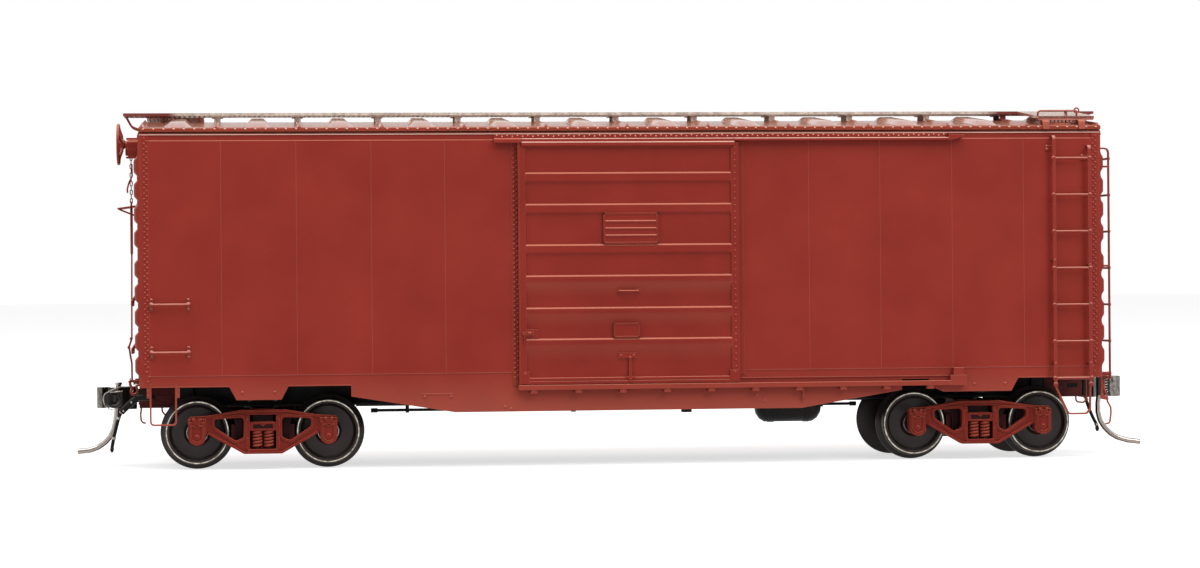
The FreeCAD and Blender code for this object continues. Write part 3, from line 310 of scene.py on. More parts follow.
class Finish:
    """Procedural material under construction, and the slot that it belongs to."""

    def __init__(self, name, slot):
        self.material = bpy.data.materials.new(name)
        self.material.use_nodes = True
        self.slot = slot
        self.tree = self.material.node_tree
        self.shader = self.tree.nodes["Principled BSDF"]
        self.where = self.node("ShaderNodeTexCoord").outputs["Object"]

    def node(self, kind, **settings):
        item = self.tree.nodes.new(kind)
        for name, setting in settings.items():
            setattr(item, name, setting)
        return item

    def link(self, source, target):
        self.tree.links.new(source, target)

    def noise(self, size, detail=3.0, stretch=None, roughness=0.55):
        """Noise whose features are about the given size in millimetres."""
        item = self.node("ShaderNodeTexNoise")
        item.inputs["Scale"].default_value = 1 / (size * MM)
        item.inputs["Detail"].default_value = detail
        item.inputs["Roughness"].default_value = roughness
        source = self.where
        if stretch:
            mapping = self.node("ShaderNodeMapping")
            mapping.inputs["Scale"].default_value = stretch
            self.link(source, mapping.inputs["Vector"])
            source = mapping.outputs["Vector"]
        self.link(source, item.inputs["Vector"])
        return item.outputs["Fac"]

    def level(self, source, low, high, to_low=0.0, to_high=1.0):
        """Part of a value's range, stretched to another range."""
        item = self.node("ShaderNodeMapRange")
        for name, number in (("From Min", low), ("From Max", high), ("To Min", to_low),
                             ("To Max", to_high)):
            item.inputs[name].default_value = number
        self.link(source, item.inputs["Value"])
        return item.outputs["Result"]

    def mix(self, amount, first, second):
        """Colour between two colours or sockets."""
        item = self.node("ShaderNodeMix", data_type="RGBA")
        for socket, source in ((item.inputs[0], amount), (item.inputs[6], first), (item.inputs[7], second)):
            if isinstance(source, bpy.types.NodeSocket):
                self.link(source, socket)
            else:
                socket.default_value = source
        return item.outputs[2]

    def combine(self, operation, first, second):
        """Number worked out from two sockets."""
        item = self.node("ShaderNodeMath", operation=operation)
        self.link(first, item.inputs[0])
        if second is not None:
            self.link(second, item.inputs[1])
        return item.outputs[0]

    def parts(self, source):
        """A vector's X, Y and Z by name."""
        item = self.node("ShaderNodeSeparateXYZ")
        self.link(source, item.inputs["Vector"])
        return item.outputs

    def highlight_mask(self, reach, upward, edge):
        """Mask for painted highlights: the surfaces that face up, and the edges that stand out within the
        reach.
        """
        soft = self.node("ShaderNodeBevel", samples=4)
        soft.inputs["Radius"].default_value = reach * MM
        flat = self.node("ShaderNodeNewGeometry")
        likeness = self.node("ShaderNodeVectorMath", operation="DOT_PRODUCT")
        self.link(soft.outputs["Normal"], likeness.inputs[0])
        self.link(flat.outputs["True Normal"], likeness.inputs[1])
        return self.combine("MAXIMUM", self.level(self.parts(soft.outputs["Normal"])["Z"], 0.12, 0.7, 0.0,
                                                  upward),
                            self.level(likeness.outputs["Value"], 0.99, 0.85, 0.0, edge))

    def crevice_shade(self, reach, amount):
        """Mask of the places where other surfaces stand close, where the paint is darkened as painted
        shade.
        """
        open_sky = self.node("ShaderNodeAmbientOcclusion", samples=4)
        open_sky.inputs["Distance"].default_value = reach * MM
        return self.level(open_sky.outputs["AO"], 0.25, 0.85, amount, 0.0)

    def colour(self, source):
        self.link(source, self.shader.inputs["Base Color"])

    def rough(self, source):
        self.link(source, self.shader.inputs["Roughness"])

    def bump(self, source, height, strength=1.0):
        """Bump of a height in millimetres."""
        item = self.node("ShaderNodeBump")
        item.inputs["Distance"].default_value = height * MM
        item.inputs["Strength"].default_value = strength
        self.link(source, item.inputs["Height"])
        self.link(item.outputs["Normal"], self.shader.inputs["Normal"])

    def fixed(self, **values):
        for name, number in values.items():
            self.shader.inputs[name.replace("_", " ")].default_value = number


# Heights between which the paint turns paler towards the bottom, as painted floor light.
BOUNCE_TOP, BOUNCE_FULL = 14.5, 8.0


def paint(name, slot, colour, roughness=0.42, dust=0.5, grain=0.006, shine=0.16, lit_tone=None, top_light=0.5,
          shade=0.35, reach=1.6, edge=0.2, floor_bounce=None):
    """Sprayed model paint: cloudy and specked with dust, with painted shade in its corners, painted
    highlights where it faces up and on its edges, and painted floor light low down.
    """
    finish = Finish(name, slot)
    deep = tuple(0.90 * c for c in colour[:3]) + (1.0,)
    light = tuple(min(1.0, 1.08 * c + 0.003) for c in colour[:3]) + (1.0,)
    cloud = finish.level(finish.noise(9.0, 4.0), 0.3, 0.7)
    body = finish.mix(cloud, deep, light)
    speck = finish.level(finish.noise(0.22, 1.0), 0.76, 0.84, 0.0, dust)
    body = finish.mix(speck, body, tuple(c + 0.16 * (0.8 - c) for c in colour[:3]) + (1.0,))
    # Painted shade: the colour darkens where other surfaces stand close.
    dark = tuple(0.3 * c for c in colour[:3]) + (1.0,)
    body = finish.mix(finish.crevice_shade(reach, shade), body, dark)
    # Painted highlight: paler on surfaces that face up and along edges.
    lit_tone = lit_tone or tuple(c + 0.1 * (0.6 - c) for c in colour[:3]) + (1.0,)
    body = finish.mix(finish.highlight_mask(0.07, top_light, edge), body, lit_tone)
    # Painted floor light: paler towards the bottom, as light thrown up from the white floor.
    if floor_bounce:
        low_down = finish.level(finish.parts(finish.where)["Z"], BOUNCE_TOP * MM, BOUNCE_FULL * MM, 0.0,
                                floor_bounce)
        body = finish.mix(low_down, body, lit_tone)
    finish.colour(body)
    finish.rough(finish.level(finish.noise(2.5, 3.0), 0.3, 0.7, roughness - 0.05, roughness + 0.06))
    finish.bump(finish.noise(0.16, 2.0), grain)
    finish.fixed(Specular_IOR_Level=shine)
    return finish


def metal(name, slot, dark, bright, roughness, streak=None):
    """Plated or turned metal with tarnish between a dark and a bright tone."""
    finish = Finish(name, slot)
    tone = finish.level(finish.noise(0.7, 4.0, streak), 0.32, 0.68)
    finish.colour(finish.mix(tone, dark, bright))
    finish.rough(finish.level(finish.noise(0.3, 3.0, streak), 0.3, 0.7, roughness - 0.06, roughness + 0.1))
    finish.bump(finish.noise(0.12, 2.0, streak), 0.004)
    finish.fixed(Metallic=1.0)
    return finish


def banded_steel_finish():
    """Steel rod with painted reflections: light and dark bands by which way its surface faces, bright on
    its outer and upper side and dark along its flanks.
    """
    finish = Finish("reflection_banded_steel", "bright_steel")
    facing = finish.parts(finish.node("ShaderNodeTexCoord").outputs["Normal"])
    end = finish.combine("SIGN", finish.parts(finish.where)["X"], None)
    total = finish.combine("ADD", finish.combine("MULTIPLY", end, facing["X"]),
                           finish.level(facing["Z"], -1.0, 1.0, -0.55, 0.55))
    # Painted reflection: the ramp's light and dark bands stand for the reflected surroundings.
    ramp = finish.node("ShaderNodeValToRGB")
    finish.link(finish.level(total, -1.0, 1.0), ramp.inputs[0])
    reflection_bands = ((0.0, (44, 40, 38)), (0.2, (60, 54, 50)), (0.28, (158, 144, 134)), (0.46, (172, 158, 148)),
             (0.5, (84, 76, 74)), (0.56, (96, 90, 88)), (0.62, (176, 168, 163)), (1.0, (208, 200, 194)))
    while len(ramp.color_ramp.elements) < len(reflection_bands):
        ramp.color_ramp.elements.new(1.0)
    for element, (position, tone) in zip(ramp.color_ramp.elements, reflection_bands):
        element.position, element.color = position, linear(*tone)
    tarnish = finish.level(finish.noise(0.5, 3.0), 0.35, 0.7, 0.0, 0.35)
    finish.colour(finish.mix(tarnish, ramp.outputs[0], linear(120, 112, 106)))
    finish.rough(finish.level(finish.noise(0.3, 3.0), 0.3, 0.7, 0.14, 0.28))
    finish.fixed(Metallic=1.0)
    return finish


PAINTED_A, PAINTED_B = 15.0, 7.0


def walk_finish():
    """Galvanised grating that turns to body colour towards the painted ends of the walk."""
    finish = Finish("galvanised_walk", "walk_grey")
    zinc = finish.mix(finish.level(finish.noise(0.8, 3.0), 0.35, 0.65),
                      linear(178, 168, 154), linear(226, 218, 204))
    along = finish.parts(finish.where)["X"]
    near_a = finish.level(along, (WALK_END - PAINTED_A - 3.0) * MM, (WALK_END - PAINTED_A) * MM)
    near_b = finish.level(along, (PAINTED_B - WALK_END) * MM, (PAINTED_B + 2.0 - WALK_END) * MM, 1.0, 0.0)
    finish.colour(finish.mix(finish.combine("MAXIMUM", near_a, near_b), zinc, linear(120, 46, 36)))
    finish.rough(finish.level(finish.noise(0.5), 0.3, 0.7, 0.38, 0.55))
    finish.bump(finish.noise(0.2, 2.0), 0.01)
    finish.fixed(Metallic=0.25)
    return finish


BODY_COLOUR, BODY_LIT_TONE = linear(146, 44, 32), linear(214, 132, 108)
# Each paint below is darkened in its corners as painted shade, and paler on faces that look up and on edges
# as painted highlight.
FINISHES = {
    "body": paint("boxcar_brown", "body_brown", BODY_COLOUR, lit_tone=BODY_LIT_TONE, top_light=0.8, edge=0.45,
                  floor_bounce=0.22),
    # Doors: darker than the body, as painted shade in the door's recess.
    "door": paint("door_brown", "body_brown", linear(140, 40, 29), lit_tone=BODY_LIT_TONE, top_light=0.85, edge=0.5),
    # Weld beads: paler than the body, as a painted highlight along them, and with no painted shade.
    "weld": paint("weld_seam_brown", "body_brown", linear(160, 66, 54), shade=0.0),
    # Rivets: a little paler than the body, with a near-white painted highlight on their tops.
    "rivet": paint("rivet_brown", "body_brown", linear(150, 56, 42), lit_tone=linear(250, 225, 208), top_light=1.0),
    "roof": paint("roof_brown", "body_brown", linear(152, 52, 36), roughness=0.24, dust=0.7, shine=0.4,
                  lit_tone=linear(218, 128, 92), top_light=0.36, edge=0.5),
    "eave": paint("eave_brown", "body_brown", linear(150, 60, 40), shine=0.1, lit_tone=linear(226, 144, 108),
                  top_light=0.8, edge=0.5, shade=0.2),
    # Pale brown for thin strips and rivets that stand for bright lines of light: a painted highlight.
    "bead": paint("lit_edge_brown", "body_brown", linear(240, 182, 162), dust=0.2, shade=0.0, shine=0.12,
                  lit_tone=linear(255, 232, 220), top_light=1.0, edge=0.6),
    "iron": paint("iron_brown", "body_brown", linear(146, 44, 33), roughness=0.3, shine=0.2, shade=0.6,
                  lit_tone=linear(240, 170, 148), top_light=0.75, edge=0.3),
    # Lateral walks: paler than the body brown, as a painted glare on the grating.
    "board": paint("lateral_board_brown", "body_brown", linear(186, 96, 70), roughness=0.3, shine=0.6,
                   lit_tone=linear(250, 212, 188), top_light=0.9, shade=0.6, reach=0.8),
    "truck": paint("truck_brown_satin", "truck_brown", linear(134, 43, 33), roughness=0.45, grain=0.012,
                   shine=0.1, lit_tone=linear(222, 112, 86), top_light=0.85, shade=1.0, reach=1.1, edge=0.85),
    # Truck brown darkened as painted shade, for the wall, hangers and plates seen through the truck's
    # openings.
    "truck_shade": paint("truck_shade_brown", "truck_brown", linear(50, 21, 19), roughness=0.5, shade=0.9,
                    shine=0.1),
    "draft": paint("draft_box_brown", "body_brown", linear(84, 28, 24), roughness=0.5, shade=0.9,
                   reach=0.9),
    "black": paint("underframe_satin_black", "underframe_black", linear(22, 18, 17), roughness=0.38,
                   shine=0.1, lit_tone=linear(96, 92, 90), top_light=0.4, shade=0.8),
    "coupler": paint("coupler_dark_metal", "coupler_black", linear(34, 30, 28), roughness=0.3, grain=0.02,
                     shine=0.22, lit_tone=linear(150, 146, 140), shade=0.8, reach=0.8, edge=0.7),
    "wheel": paint("wheel_dark_metal", "wheel_metal", linear(40, 28, 25), roughness=0.3, shine=0.26),
    "axle": paint("axle_plastic_black", "axle_black", linear(22, 19, 18), roughness=0.5, shine=0.1),
    "jaw": metal("knuckle_brushed", "coupler_black", linear(56, 53, 50), linear(148, 143, 136), 0.35,
                 (2, 2, 1)),
    "tread": metal("worn_tread", "wheel_metal", linear(42, 38, 36), linear(120, 112, 104), 0.32),
    "steel": banded_steel_finish(),
    "rim": metal("turned_rim", "wheel_metal", linear(116, 108, 98), linear(214, 206, 192), 0.3),
    "ballast": metal("rolled_ballast_steel", "ballast_steel", linear(88, 86, 84), linear(128, 126, 122),
                     0.45),
    "walk": walk_finish(),
}
for name in ("roof", "board"):
    FINISHES[name].fixed(Coat_Weight=1.0, Coat_Roughness=0.12, Coat_IOR=1.35, Sheen_Weight=0.5,
                         Sheen_Roughness=0.3, Sheen_Tint=linear(255, 196, 160))


# ---------------------------------------------------------------- pieces

def finish_mesh(mesh, angle):
    """Face directions outward, and edges sharper than the angle kept sharp."""
    tool = bmesh.new()
    tool.from_mesh(mesh)
    bmesh.ops.recalc_face_normals(tool, faces=tool.faces)
    tool.to_mesh(mesh)
    tool.free()
    mesh.polygons.foreach_set("use_smooth", [True] * len(mesh.polygons))
    mesh.set_sharp_from_angle(angle=math.radians(angle))


def dress(item, finish, body, nodes, bevel, angle):
    """Material, soft edges, and the body that a piece belongs to, with the CAD nodes it stands for hidden.
    """
    item.data.materials.clear()
    item.data.materials.append(FINISHES[finish].material)
    if bevel:
        edge = item.modifiers.new("edges", "BEVEL")
        edge.width, edge.segments = bevel * MM, 2
        edge.limit_method, edge.angle_limit = "ANGLE", math.radians(angle)
        edge.harden_normals = True
    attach(item, body)
    if nodes:
        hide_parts(*nodes)
    return item


def piece(name, form, finish, body="car_body", nodes=(), bevel=0.0, angle=32):
    """One visible piece on a CAD body, which may stand for some CAD nodes."""
    mesh = bpy.data.meshes.new(name)
    mesh.from_pydata([point * MM for point in form.points], [], form.faces)
    finish_mesh(mesh, angle)
    item = bpy.data.objects.new(name, mesh)
    bpy.context.scene.collection.objects.link(item)
    return dress(item, finish, body, nodes, bevel, angle)


def softened(node, finish, body, bevel=0.08):
    """A CAD node's own shape with its edges rounded."""
    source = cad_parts[node]
    tool = bmesh.new()
    tool.from_mesh(source.data)
    tool.transform(source.matrix_world)
    bmesh.ops.remove_doubles(tool, verts=tool.verts, dist=2e-6)
    bmesh.ops.dissolve_limit(tool, angle_limit=math.radians(1.5), verts=tool.verts, edges=tool.edges)
    mesh = bpy.data.meshes.new(node + "_shape")
    tool.to_mesh(mesh)
    tool.free()
    finish_mesh(mesh, 32)
    item = bpy.data.objects.new(node + "_shape", mesh)
    bpy.context.scene.collection.objects.link(item)
    return dress(item, finish, body, (node,), bevel, 32)


def steps(low, high, pitch):
    """Even places from low to high, about a pitch apart."""
    count = max(1, round((high - low) / pitch))
    return [low + (high - low) * i / count for i in range(count + 1)]


# ---------------------------------------------------------------- sides and sills

DOORWAY_HALF, DOORWAY_TOP = 14.8, 46.6
LEDGE = 48.13
SHEET_SEAMS = (27.02, 37.78, 48.68, 59.59)
TRACK_START = -DOOR_HALF - 3.4
TRACK_STOP = TRACK_END - 2.4


def side_sheet():
    """Wall of the right side: lower sheets, top strip, welded seams and door posts."""
    form = Form()
    form.prism([(-INSIDE_END, SILL_TOP), (-DOORWAY_HALF, SILL_TOP), (-DOORWAY_HALF, DOORWAY_TOP),
                (DOORWAY_HALF, DOORWAY_TOP), (DOORWAY_HALF, SILL_TOP), (INSIDE_END, SILL_TOP),
                (INSIDE_END, LEDGE), (-INSIDE_END, LEDGE)], "y", -SIDE, 1.0 - SIDE)
    strip = [(-SIDE, LEDGE - 0.02), (0.14 - SIDE, LEDGE + 0.1), (0.14 - SIDE, WALL_TOP - 0.36),
             (-SIDE, WALL_TOP - 0.3), (-SIDE, WALL_TOP - 0.16), (0.16 - SIDE, WALL_TOP),
             (1.0 - SIDE, WALL_TOP), (1.0 - SIDE, LEDGE - 0.02)]
    form.prism(strip, "x", -INSIDE_END, INSIDE_END)
    form.box((-17.2, -16.2), (-SIDE - 0.1, 0.1 - SIDE), (SILL_TOP - 1.9, UPPER_LOW))
    form.box((DOOR_HALF + 0.12, DOOR_HALF + 0.8), (-SIDE - 0.12, 0.1 - SIDE), (SILL_TOP - 0.6, UPPER_LOW))
    return form


def weld_seams():
    """Weld beads between the side sheets, and the bead along the sill's top."""
    form = Form()
    for x in [way * seam for seam in SHEET_SEAMS for way in (-1, 1)]:
        form.prism(arc((x, -SIDE + 0.03), 0.08, 180, 360, 4), "z", SILL_TOP + 0.02, LEDGE)
    for low, high in ((-INSIDE_END, -DOOR_HALF - 0.9), (DOOR_HALF + 0.9, INSIDE_END)):
        form.prism(arc((-SIDE + 0.02, SILL_TOP - 0.02), 0.06, 90, 270, 4), "x", low, high)
    return form


def side_rivets():
    """Rivet rows at both ends of the right side and beside its doorway."""
    form = Form()
    for end in (-1, 1):
        for shift, start in ((0.26, 0.0), (0.62, 0.4)):
            x = end * (INSIDE_END + shift)
            form.row([(x, -SIDE, z + start) for z in steps(15.3, 48.1, 0.8)], OUT, 0.19)
        for x, z in ((0.3, 13.2), (0.05, 13.9), (0.45, 14.6)):
            form.dome((end * (INSIDE_END + x), -SIDE, z), OUT, 0.2)
    for x, start in ((-16.9, 0.0), (-16.42, 0.35)):
        form.row([(x, -SIDE - 0.1, z + start) for z in steps(13.2, 46.8, 0.7)], OUT, 0.19)
    return form


BELLY_HALF, BELLY_END, BELLY_KNEE = 40.9, 10.75, 25.7
BELLY_BOTTOM = span("side_sill_right", "z")[0]
TAB_BOTTOM, TAB_TOP_HALF, TAB_LOW_HALF, TAB_SHIFT = 10.4, 4.3, 3.25, 0.55


def side_sill():
    """Sill plate below the right side sheet, with its deep middle and its tabs at the bolsters."""
    tab = TRUCK + TAB_SHIFT
    long_tab = TRACK_STOP - 2.95
    outline = [
        (-INSIDE_END, SILL_TOP - 0.05), (-INSIDE_END, SILL_BOTTOM),
        (-tab - TAB_TOP_HALF, SILL_BOTTOM), (-tab - TAB_LOW_HALF, TAB_BOTTOM),
        (-tab + TAB_LOW_HALF, TAB_BOTTOM), (-tab + TAB_TOP_HALF, SILL_BOTTOM),
        (-BELLY_HALF, SILL_BOTTOM), (-BELLY_HALF, BELLY_END), (-BELLY_KNEE, BELLY_BOTTOM),
        (BELLY_KNEE, BELLY_BOTTOM), (BELLY_HALF, BELLY_END), (BELLY_HALF, SILL_BOTTOM),
        (long_tab, SILL_BOTTOM), (long_tab, (SILL_BOTTOM + TAB_BOTTOM) / 2),
        (tab - 2 * TAB_LOW_HALF - TAB_SHIFT, TAB_BOTTOM), (tab + TAB_LOW_HALF, TAB_BOTTOM),
        (tab + TAB_TOP_HALF, SILL_BOTTOM), (INSIDE_END, SILL_BOTTOM), (INSIDE_END, SILL_TOP - 0.05)]
    return Form().prism(outline, "y", 0.05 - SIDE, 0.7 - SIDE)


def sill_trim():
    """Rivets, rope staple, tie bar and seam strip on the right sill."""
    form = Form()
    face, tab = 0.05 - SIDE, TRUCK + TAB_SHIFT
    for x, z in ((-tab - 2.4, 11.5), (-tab + 2.3, 11.5), (tab - 2.4, 11.5), (tab + 2.3, 11.5),
                 (-18.4, 8.95), (-17.5, 8.65), (19.0, 10.25), (20.2, 9.34), (-30.2, 10.55),
                 (-26.3, 10.55), (47.0, 10.8)):
        form.dome((x, face, z), OUT, 0.24)
    form.box((-30.65, -25.9), (face - 0.07, face + 0.1), (10.86, 11.06))
    staple = rounded([(25.9, face, 11.0), (25.9, face - 0.6, 10.9), (25.9, face - 0.6, 9.6),
                      (25.9, face, 9.5)],
                     0.35, closed=False)
    form.tube(staple, 0.14)
    form.row([(25.9, face, 11.0), (25.9, face, 9.5)], OUT, 0.26)
    for low, high in ((-INSIDE_END, -tab - TAB_TOP_HALF), (-tab + TAB_TOP_HALF, -BELLY_HALF),
                      (tab + TAB_TOP_HALF, INSIDE_END)):
        form.box((low, high), (face - 0.06, face + 0.1), (SILL_BOTTOM, SILL_BOTTOM + 0.16))
    return form


def make_sides():
    for side, shape in SIDES:
        piece(f"side_{side}_sheet", shape(side_sheet()), "body", nodes=[f"side_{side}"], bevel=0.03)
        piece(f"side_sill_{side}_plate", shape(side_sill()), "body", nodes=[f"side_sill_{side}"],
              bevel=0.07)
    piece("side_rivets", side_rivets().both(), "body")
    piece("side_weld_beads", weld_seams().both(), "weld")
    piece("sill_trim", sill_trim().both(), "body", bevel=0.03)
    # A pale bead along the top of each side, as a painted highlight on the strip's top edge.
    bead = Form().prism(arc((-0.02 - SIDE, SIDE_TOP - 0.04), 0.065, 90, 270, 4), "x", 0.2 - HALF,
                        HALF - 0.2)
    piece("side_top_highlight_beads", bead.both(), "bead")


# ---------------------------------------------------------------- ends

RIB_FOOT, RIB_HEAD, RIB_JOINT = 13.79, 46.3, 0.92
RIBS_LOW, RIBS_HIGH = 5, 4
RIB_PITCH = (RIB_HEAD - RIB_FOOT - RIB_JOINT) / (RIBS_LOW + RIBS_HIGH)


def rib_wave(z):
    """Depth of the end's ribs at a height: broad crests with narrow valleys."""
    place_up = z - RIB_FOOT
    if place_up > RIBS_LOW * RIB_PITCH:
        place_up -= RIB_JOINT
        if place_up < RIBS_LOW * RIB_PITCH:
            return 0.0
    if not 0 < place_up < (RIBS_LOW + RIBS_HIGH) * RIB_PITCH:
        return 0.0
    share = place_up / RIB_PITCH % 1.0
    rise = min(1.0, min(share, 1 - share) / 0.29)
    return RIB_DEPTH * rise * rise * (3 - 2 * rise)


def end_sheet():
    """Ribbed end at +X, full width, its edges rolled round at the corners."""
    heights = steps(SILL_BOTTOM, WALL_TOP, 0.2)
    rings = []
    right = ((-SIDE, 0.14, 0.0), (0.06 - SIDE, 0.04, 0.1), (0.2 - SIDE, 0.0, 0.3), (0.4 - SIDE, 0.0, 0.53),
             (0.65 - SIDE, 0.0, 0.75), (0.95 - SIDE, 0.0, 0.92), (1.3 - SIDE, 0.0, 1.0))
    for y, roll, depth in right + tuple((-y, roll, depth) for y, roll, depth in reversed(right)):
        front = [(HALF + depth * rib_wave(z) - roll, y, z) for z in heights]
        rings.append(front + [(INSIDE_END, y, WALL_TOP), (INSIDE_END, y, SILL_BOTTOM)])
    return Form().rings(rings)


def end_trim():
    """Joint strip, corner rivets and top rivets of the +X end."""
    form = Form()
    out = (1, 0, 0)
    joint = RIB_FOOT + RIBS_LOW * RIB_PITCH + RIB_JOINT / 2
    for number, y in enumerate(steps(1.2 - SIDE, SIDE - 1.2, 0.8)):
        form.dome((HALF, y, joint + 0.17 * (-1) ** (number + 1)), out, 0.13)
    for height in (47.3, 13.1):
        form.row([(HALF, y, height) for y in steps(1.2 - SIDE, SIDE - 1.2, 1.6)], out, 0.13)
    form.box((HALF - 0.1, HALF + 0.1), (0.3 - SIDE, SIDE - 0.3), (SIDE_TOP - 0.5, SIDE_TOP - 0.05))
    return form


def make_ends():
    """Plain end at A, the same turned round at B for the hand brake, and their trim."""
    piece("end_plain_sheet", end_sheet(), "body", nodes=["end_plain"], angle=50)
    piece("end_brake_sheet", end_sheet().turned(), "body", nodes=["end_brake"], angle=50)
    piece("end_trim", end_trim().both(), "body", bevel=0.03)


# ---------------------------------------------------------------- roof

def roof_height(y):
    """Height of the roof's sheets at a distance from the middle."""
    return RIDGE + 0.12 - ROOF_SLOPE * abs(y)


def roof_sheet():
    recess = SIDE - 0.4
    right = [(-recess, SIDE_TOP), (-recess, EAVE_BOTTOM), (0.12 - EAVE, EAVE_BOTTOM),
             (-EAVE, EAVE_BOTTOM + 0.1), (0.01 - EAVE, EAVE_TOP - 0.04), (0.12 - EAVE, EAVE_TOP + 0.1)]
    outline = right + [(0, roof_height(0))] + [(-y, z) for y, z in reversed(right)]
    form = Form().prism(outline, "x", -ROOF_END, ROOF_END)
    for x in ROOF_SEAMS + [-ROOF_END + 0.45, ROOF_END - 0.45]:
        rings = []
        for y in (-EAVE, 0.25 - EAVE, 0.0, EAVE - 0.25, EAVE):
            low, lift = roof_height(y) - 0.15, 0.1 if abs(y) == EAVE else 0.36
            rings.append([(x - 0.42, y, low), (x - 0.1, y, roof_height(y) + lift),
                          (x + 0.1, y, roof_height(y) + lift), (x + 0.42, y, low)])
        form.rings(rings)
    return form


def bow_ties():
    """Raised panel between each two roof seams, wide at the eaves and narrow at the ridge."""
    form = Form()
    edges = [-ROOF_END] + ROOF_SEAMS + [ROOF_END]
    for low, high in zip(edges, edges[1:]):
        x = (low + high) / 2
        rings = []
        for y, height in ((-16.9, -0.02), (-14.8, 0.52), (-14.1, 0.6), (-0.6, 0.6), (0.6, 0.6), (14.1, 0.6),
                          (14.8, 0.52), (16.9, -0.02)):
            share = abs(y) / EAVE
            foot, top = 1.45 + 0.6 * share, 0.8 + 0.3 * share
            ground = roof_height(y)
            ring = [(-foot, -0.1), (-foot, 0.02), (-top - 0.18, height - 0.09), (-top, height),
                    (top, height), (top + 0.18, height - 0.09), (foot, 0.02), (foot, -0.1)]
            rings.append([(x + across, y, ground + max(up, -0.1)) for across, up in ring])
        form.rings(rings)
    return form


def make_roof():
    """Roof sheet with its bow ties, rivets and fascia, and dark strips under the eaves as painted shadow.
    """
    piece("roof_sheet", roof_sheet(), "roof", nodes=["roof"], bevel=0.03)
    piece("roof_bow_ties", bow_ties(), "roof", angle=50)
    rivets = Form()
    rivets.row([(x, -0.03 - EAVE, EAVE_TOP - 0.2) for x in steps(0.7 - ROOF_END, ROOF_END - 0.7, 1.47)],
               (0, -1, 0.35), 0.19)
    for end_y in steps(-15.6, 15.6, 1.6):
        rivets.dome((ROOF_END, end_y, roof_height(end_y) - 0.35), (1, 0, 0), 0.13)
    piece("eave_rivets", rivets.both(), "rivet")
    fascia = Form().box((-ROOF_END, ROOF_END), (-0.03 - EAVE, 0.08 - EAVE),
                        (EAVE_BOTTOM + 0.02, EAVE_TOP - 0.02))
    piece("eave_fascias", fascia.both(), "eave", bevel=0.02)
    # Painted shadow: dark strips in the draft brown under each eave and on the recess wall below it.
    under = Form().box((0.1 - ROOF_END, ROOF_END - 0.1), (0.04 - EAVE, 0.5 - SIDE),
                       (EAVE_BOTTOM - 0.04, EAVE_BOTTOM + 0.06))
    under.box((0.1 - ROOF_END, ROOF_END - 0.1), (0.36 - SIDE, 0.5 - SIDE), (SIDE_TOP, EAVE_BOTTOM))
    piece("eave_shadow_strips", under.both(), "draft")


# ---------------------------------------------------------------- walks on the roof

def grating(low_x, high_x, low_y, high_y, cross_pitch, bars, depth, wide=0.1, sunk=(0.03, 0.06)):
    """Flat open grating with its top at height 0 and its long and cross bars sunk a little below it."""
    form = Form()
    edge = 0.22
    for y in (low_y, high_y - edge):
        form.box((low_x, high_x), (y, y + edge), (-depth, 0.0))
    for y in steps(low_y + edge / 2, high_y - edge / 2, (high_y - low_y - edge) / bars)[1:-1]:
        form.box((low_x, high_x), (y - 0.07, y + 0.07), (-0.8 * depth, -sunk[0]))
    for x in steps(low_x + edge / 2, high_x - edge / 2, cross_pitch):
        form.box((x - wide, x + wide), (low_y + 0.02, high_y - 0.02), (-depth, -sunk[1]))
    return form


WALK_RAISE = 0.26
LATERAL_LOW, LATERAL_HIGH = HALF - 9.2, HALF - 0.8
LATERAL_REACH, LATERAL_DROP = 15.9, 1.7 - WALK_RAISE


def running_board():
    """Long walk over the ridge."""
    walk = grating(0.3 - WALK_END, WALK_END - 0.1, -WALK_HALF, WALK_HALF, 0.75, 8, WALK_HIGH - WALK_LOW)
    piece("running_board_grating", walk.shifted(z=WALK_HIGH + WALK_RAISE), "walk", nodes=["running_board"])


def lateral_walks():
    """Sloping walk to the ladder's corner, with its tabs down to the eave, at both ends."""
    low_x, high_x, outer, drop = LATERAL_LOW, LATERAL_HIGH, LATERAL_REACH, LATERAL_DROP
    tilt = math.atan2(drop, outer - WALK_HALF)
    width = (outer - WALK_HALF) / math.cos(tilt)
    lateral = grating(low_x, high_x, -width, 0, 0.6, 14, 0.4, 0.21, (0.12, 0.0))
    lateral.box((low_x, high_x), (-width, 0.16 - width), (-0.62, 0.0))
    for x in steps(low_x + 1.6, low_x + 5.6, 0.6):
        lateral.box((x - 0.17, x + 0.17), (0.1 - width, 0.5 - width), (-0.95, -0.3))
    hang = Matrix.Translation((0, -WALK_HALF, WALK_HIGH + WALK_RAISE)) @ Matrix.Rotation(tilt, 4, "X")
    lateral = lateral.moved(hang)
    tabs = Form()
    for x in (low_x + 0.3, low_x + 5.8):
        over = [(-outer + 0.5, WALK_LOW - drop + 0.1), (-EAVE + 0.2, WALK_LOW - drop - 0.15),
                (-EAVE - 0.12, EAVE_BOTTOM)]
        tabs.prism(band(rounded(over, 0.4, closed=False), 0.25), "x", x - 0.05, x + 1.0)
        lateral.prism([(-outer + 1.4, roof_height(outer - 1.4) - 0.1),
                       (-outer + 0.3, roof_height(outer - 0.3) - 0.1),
                       (-outer + 0.3, WALK_LOW - drop), (-outer + 1.4, WALK_LOW - drop)], "x", x, x + 0.9)
    piece("lateral_board_tabs", tabs.both(), "body", bevel=0.04)
    piece("lateral_board_gratings", lateral.both(), "board", nodes=["lateral_boards"])


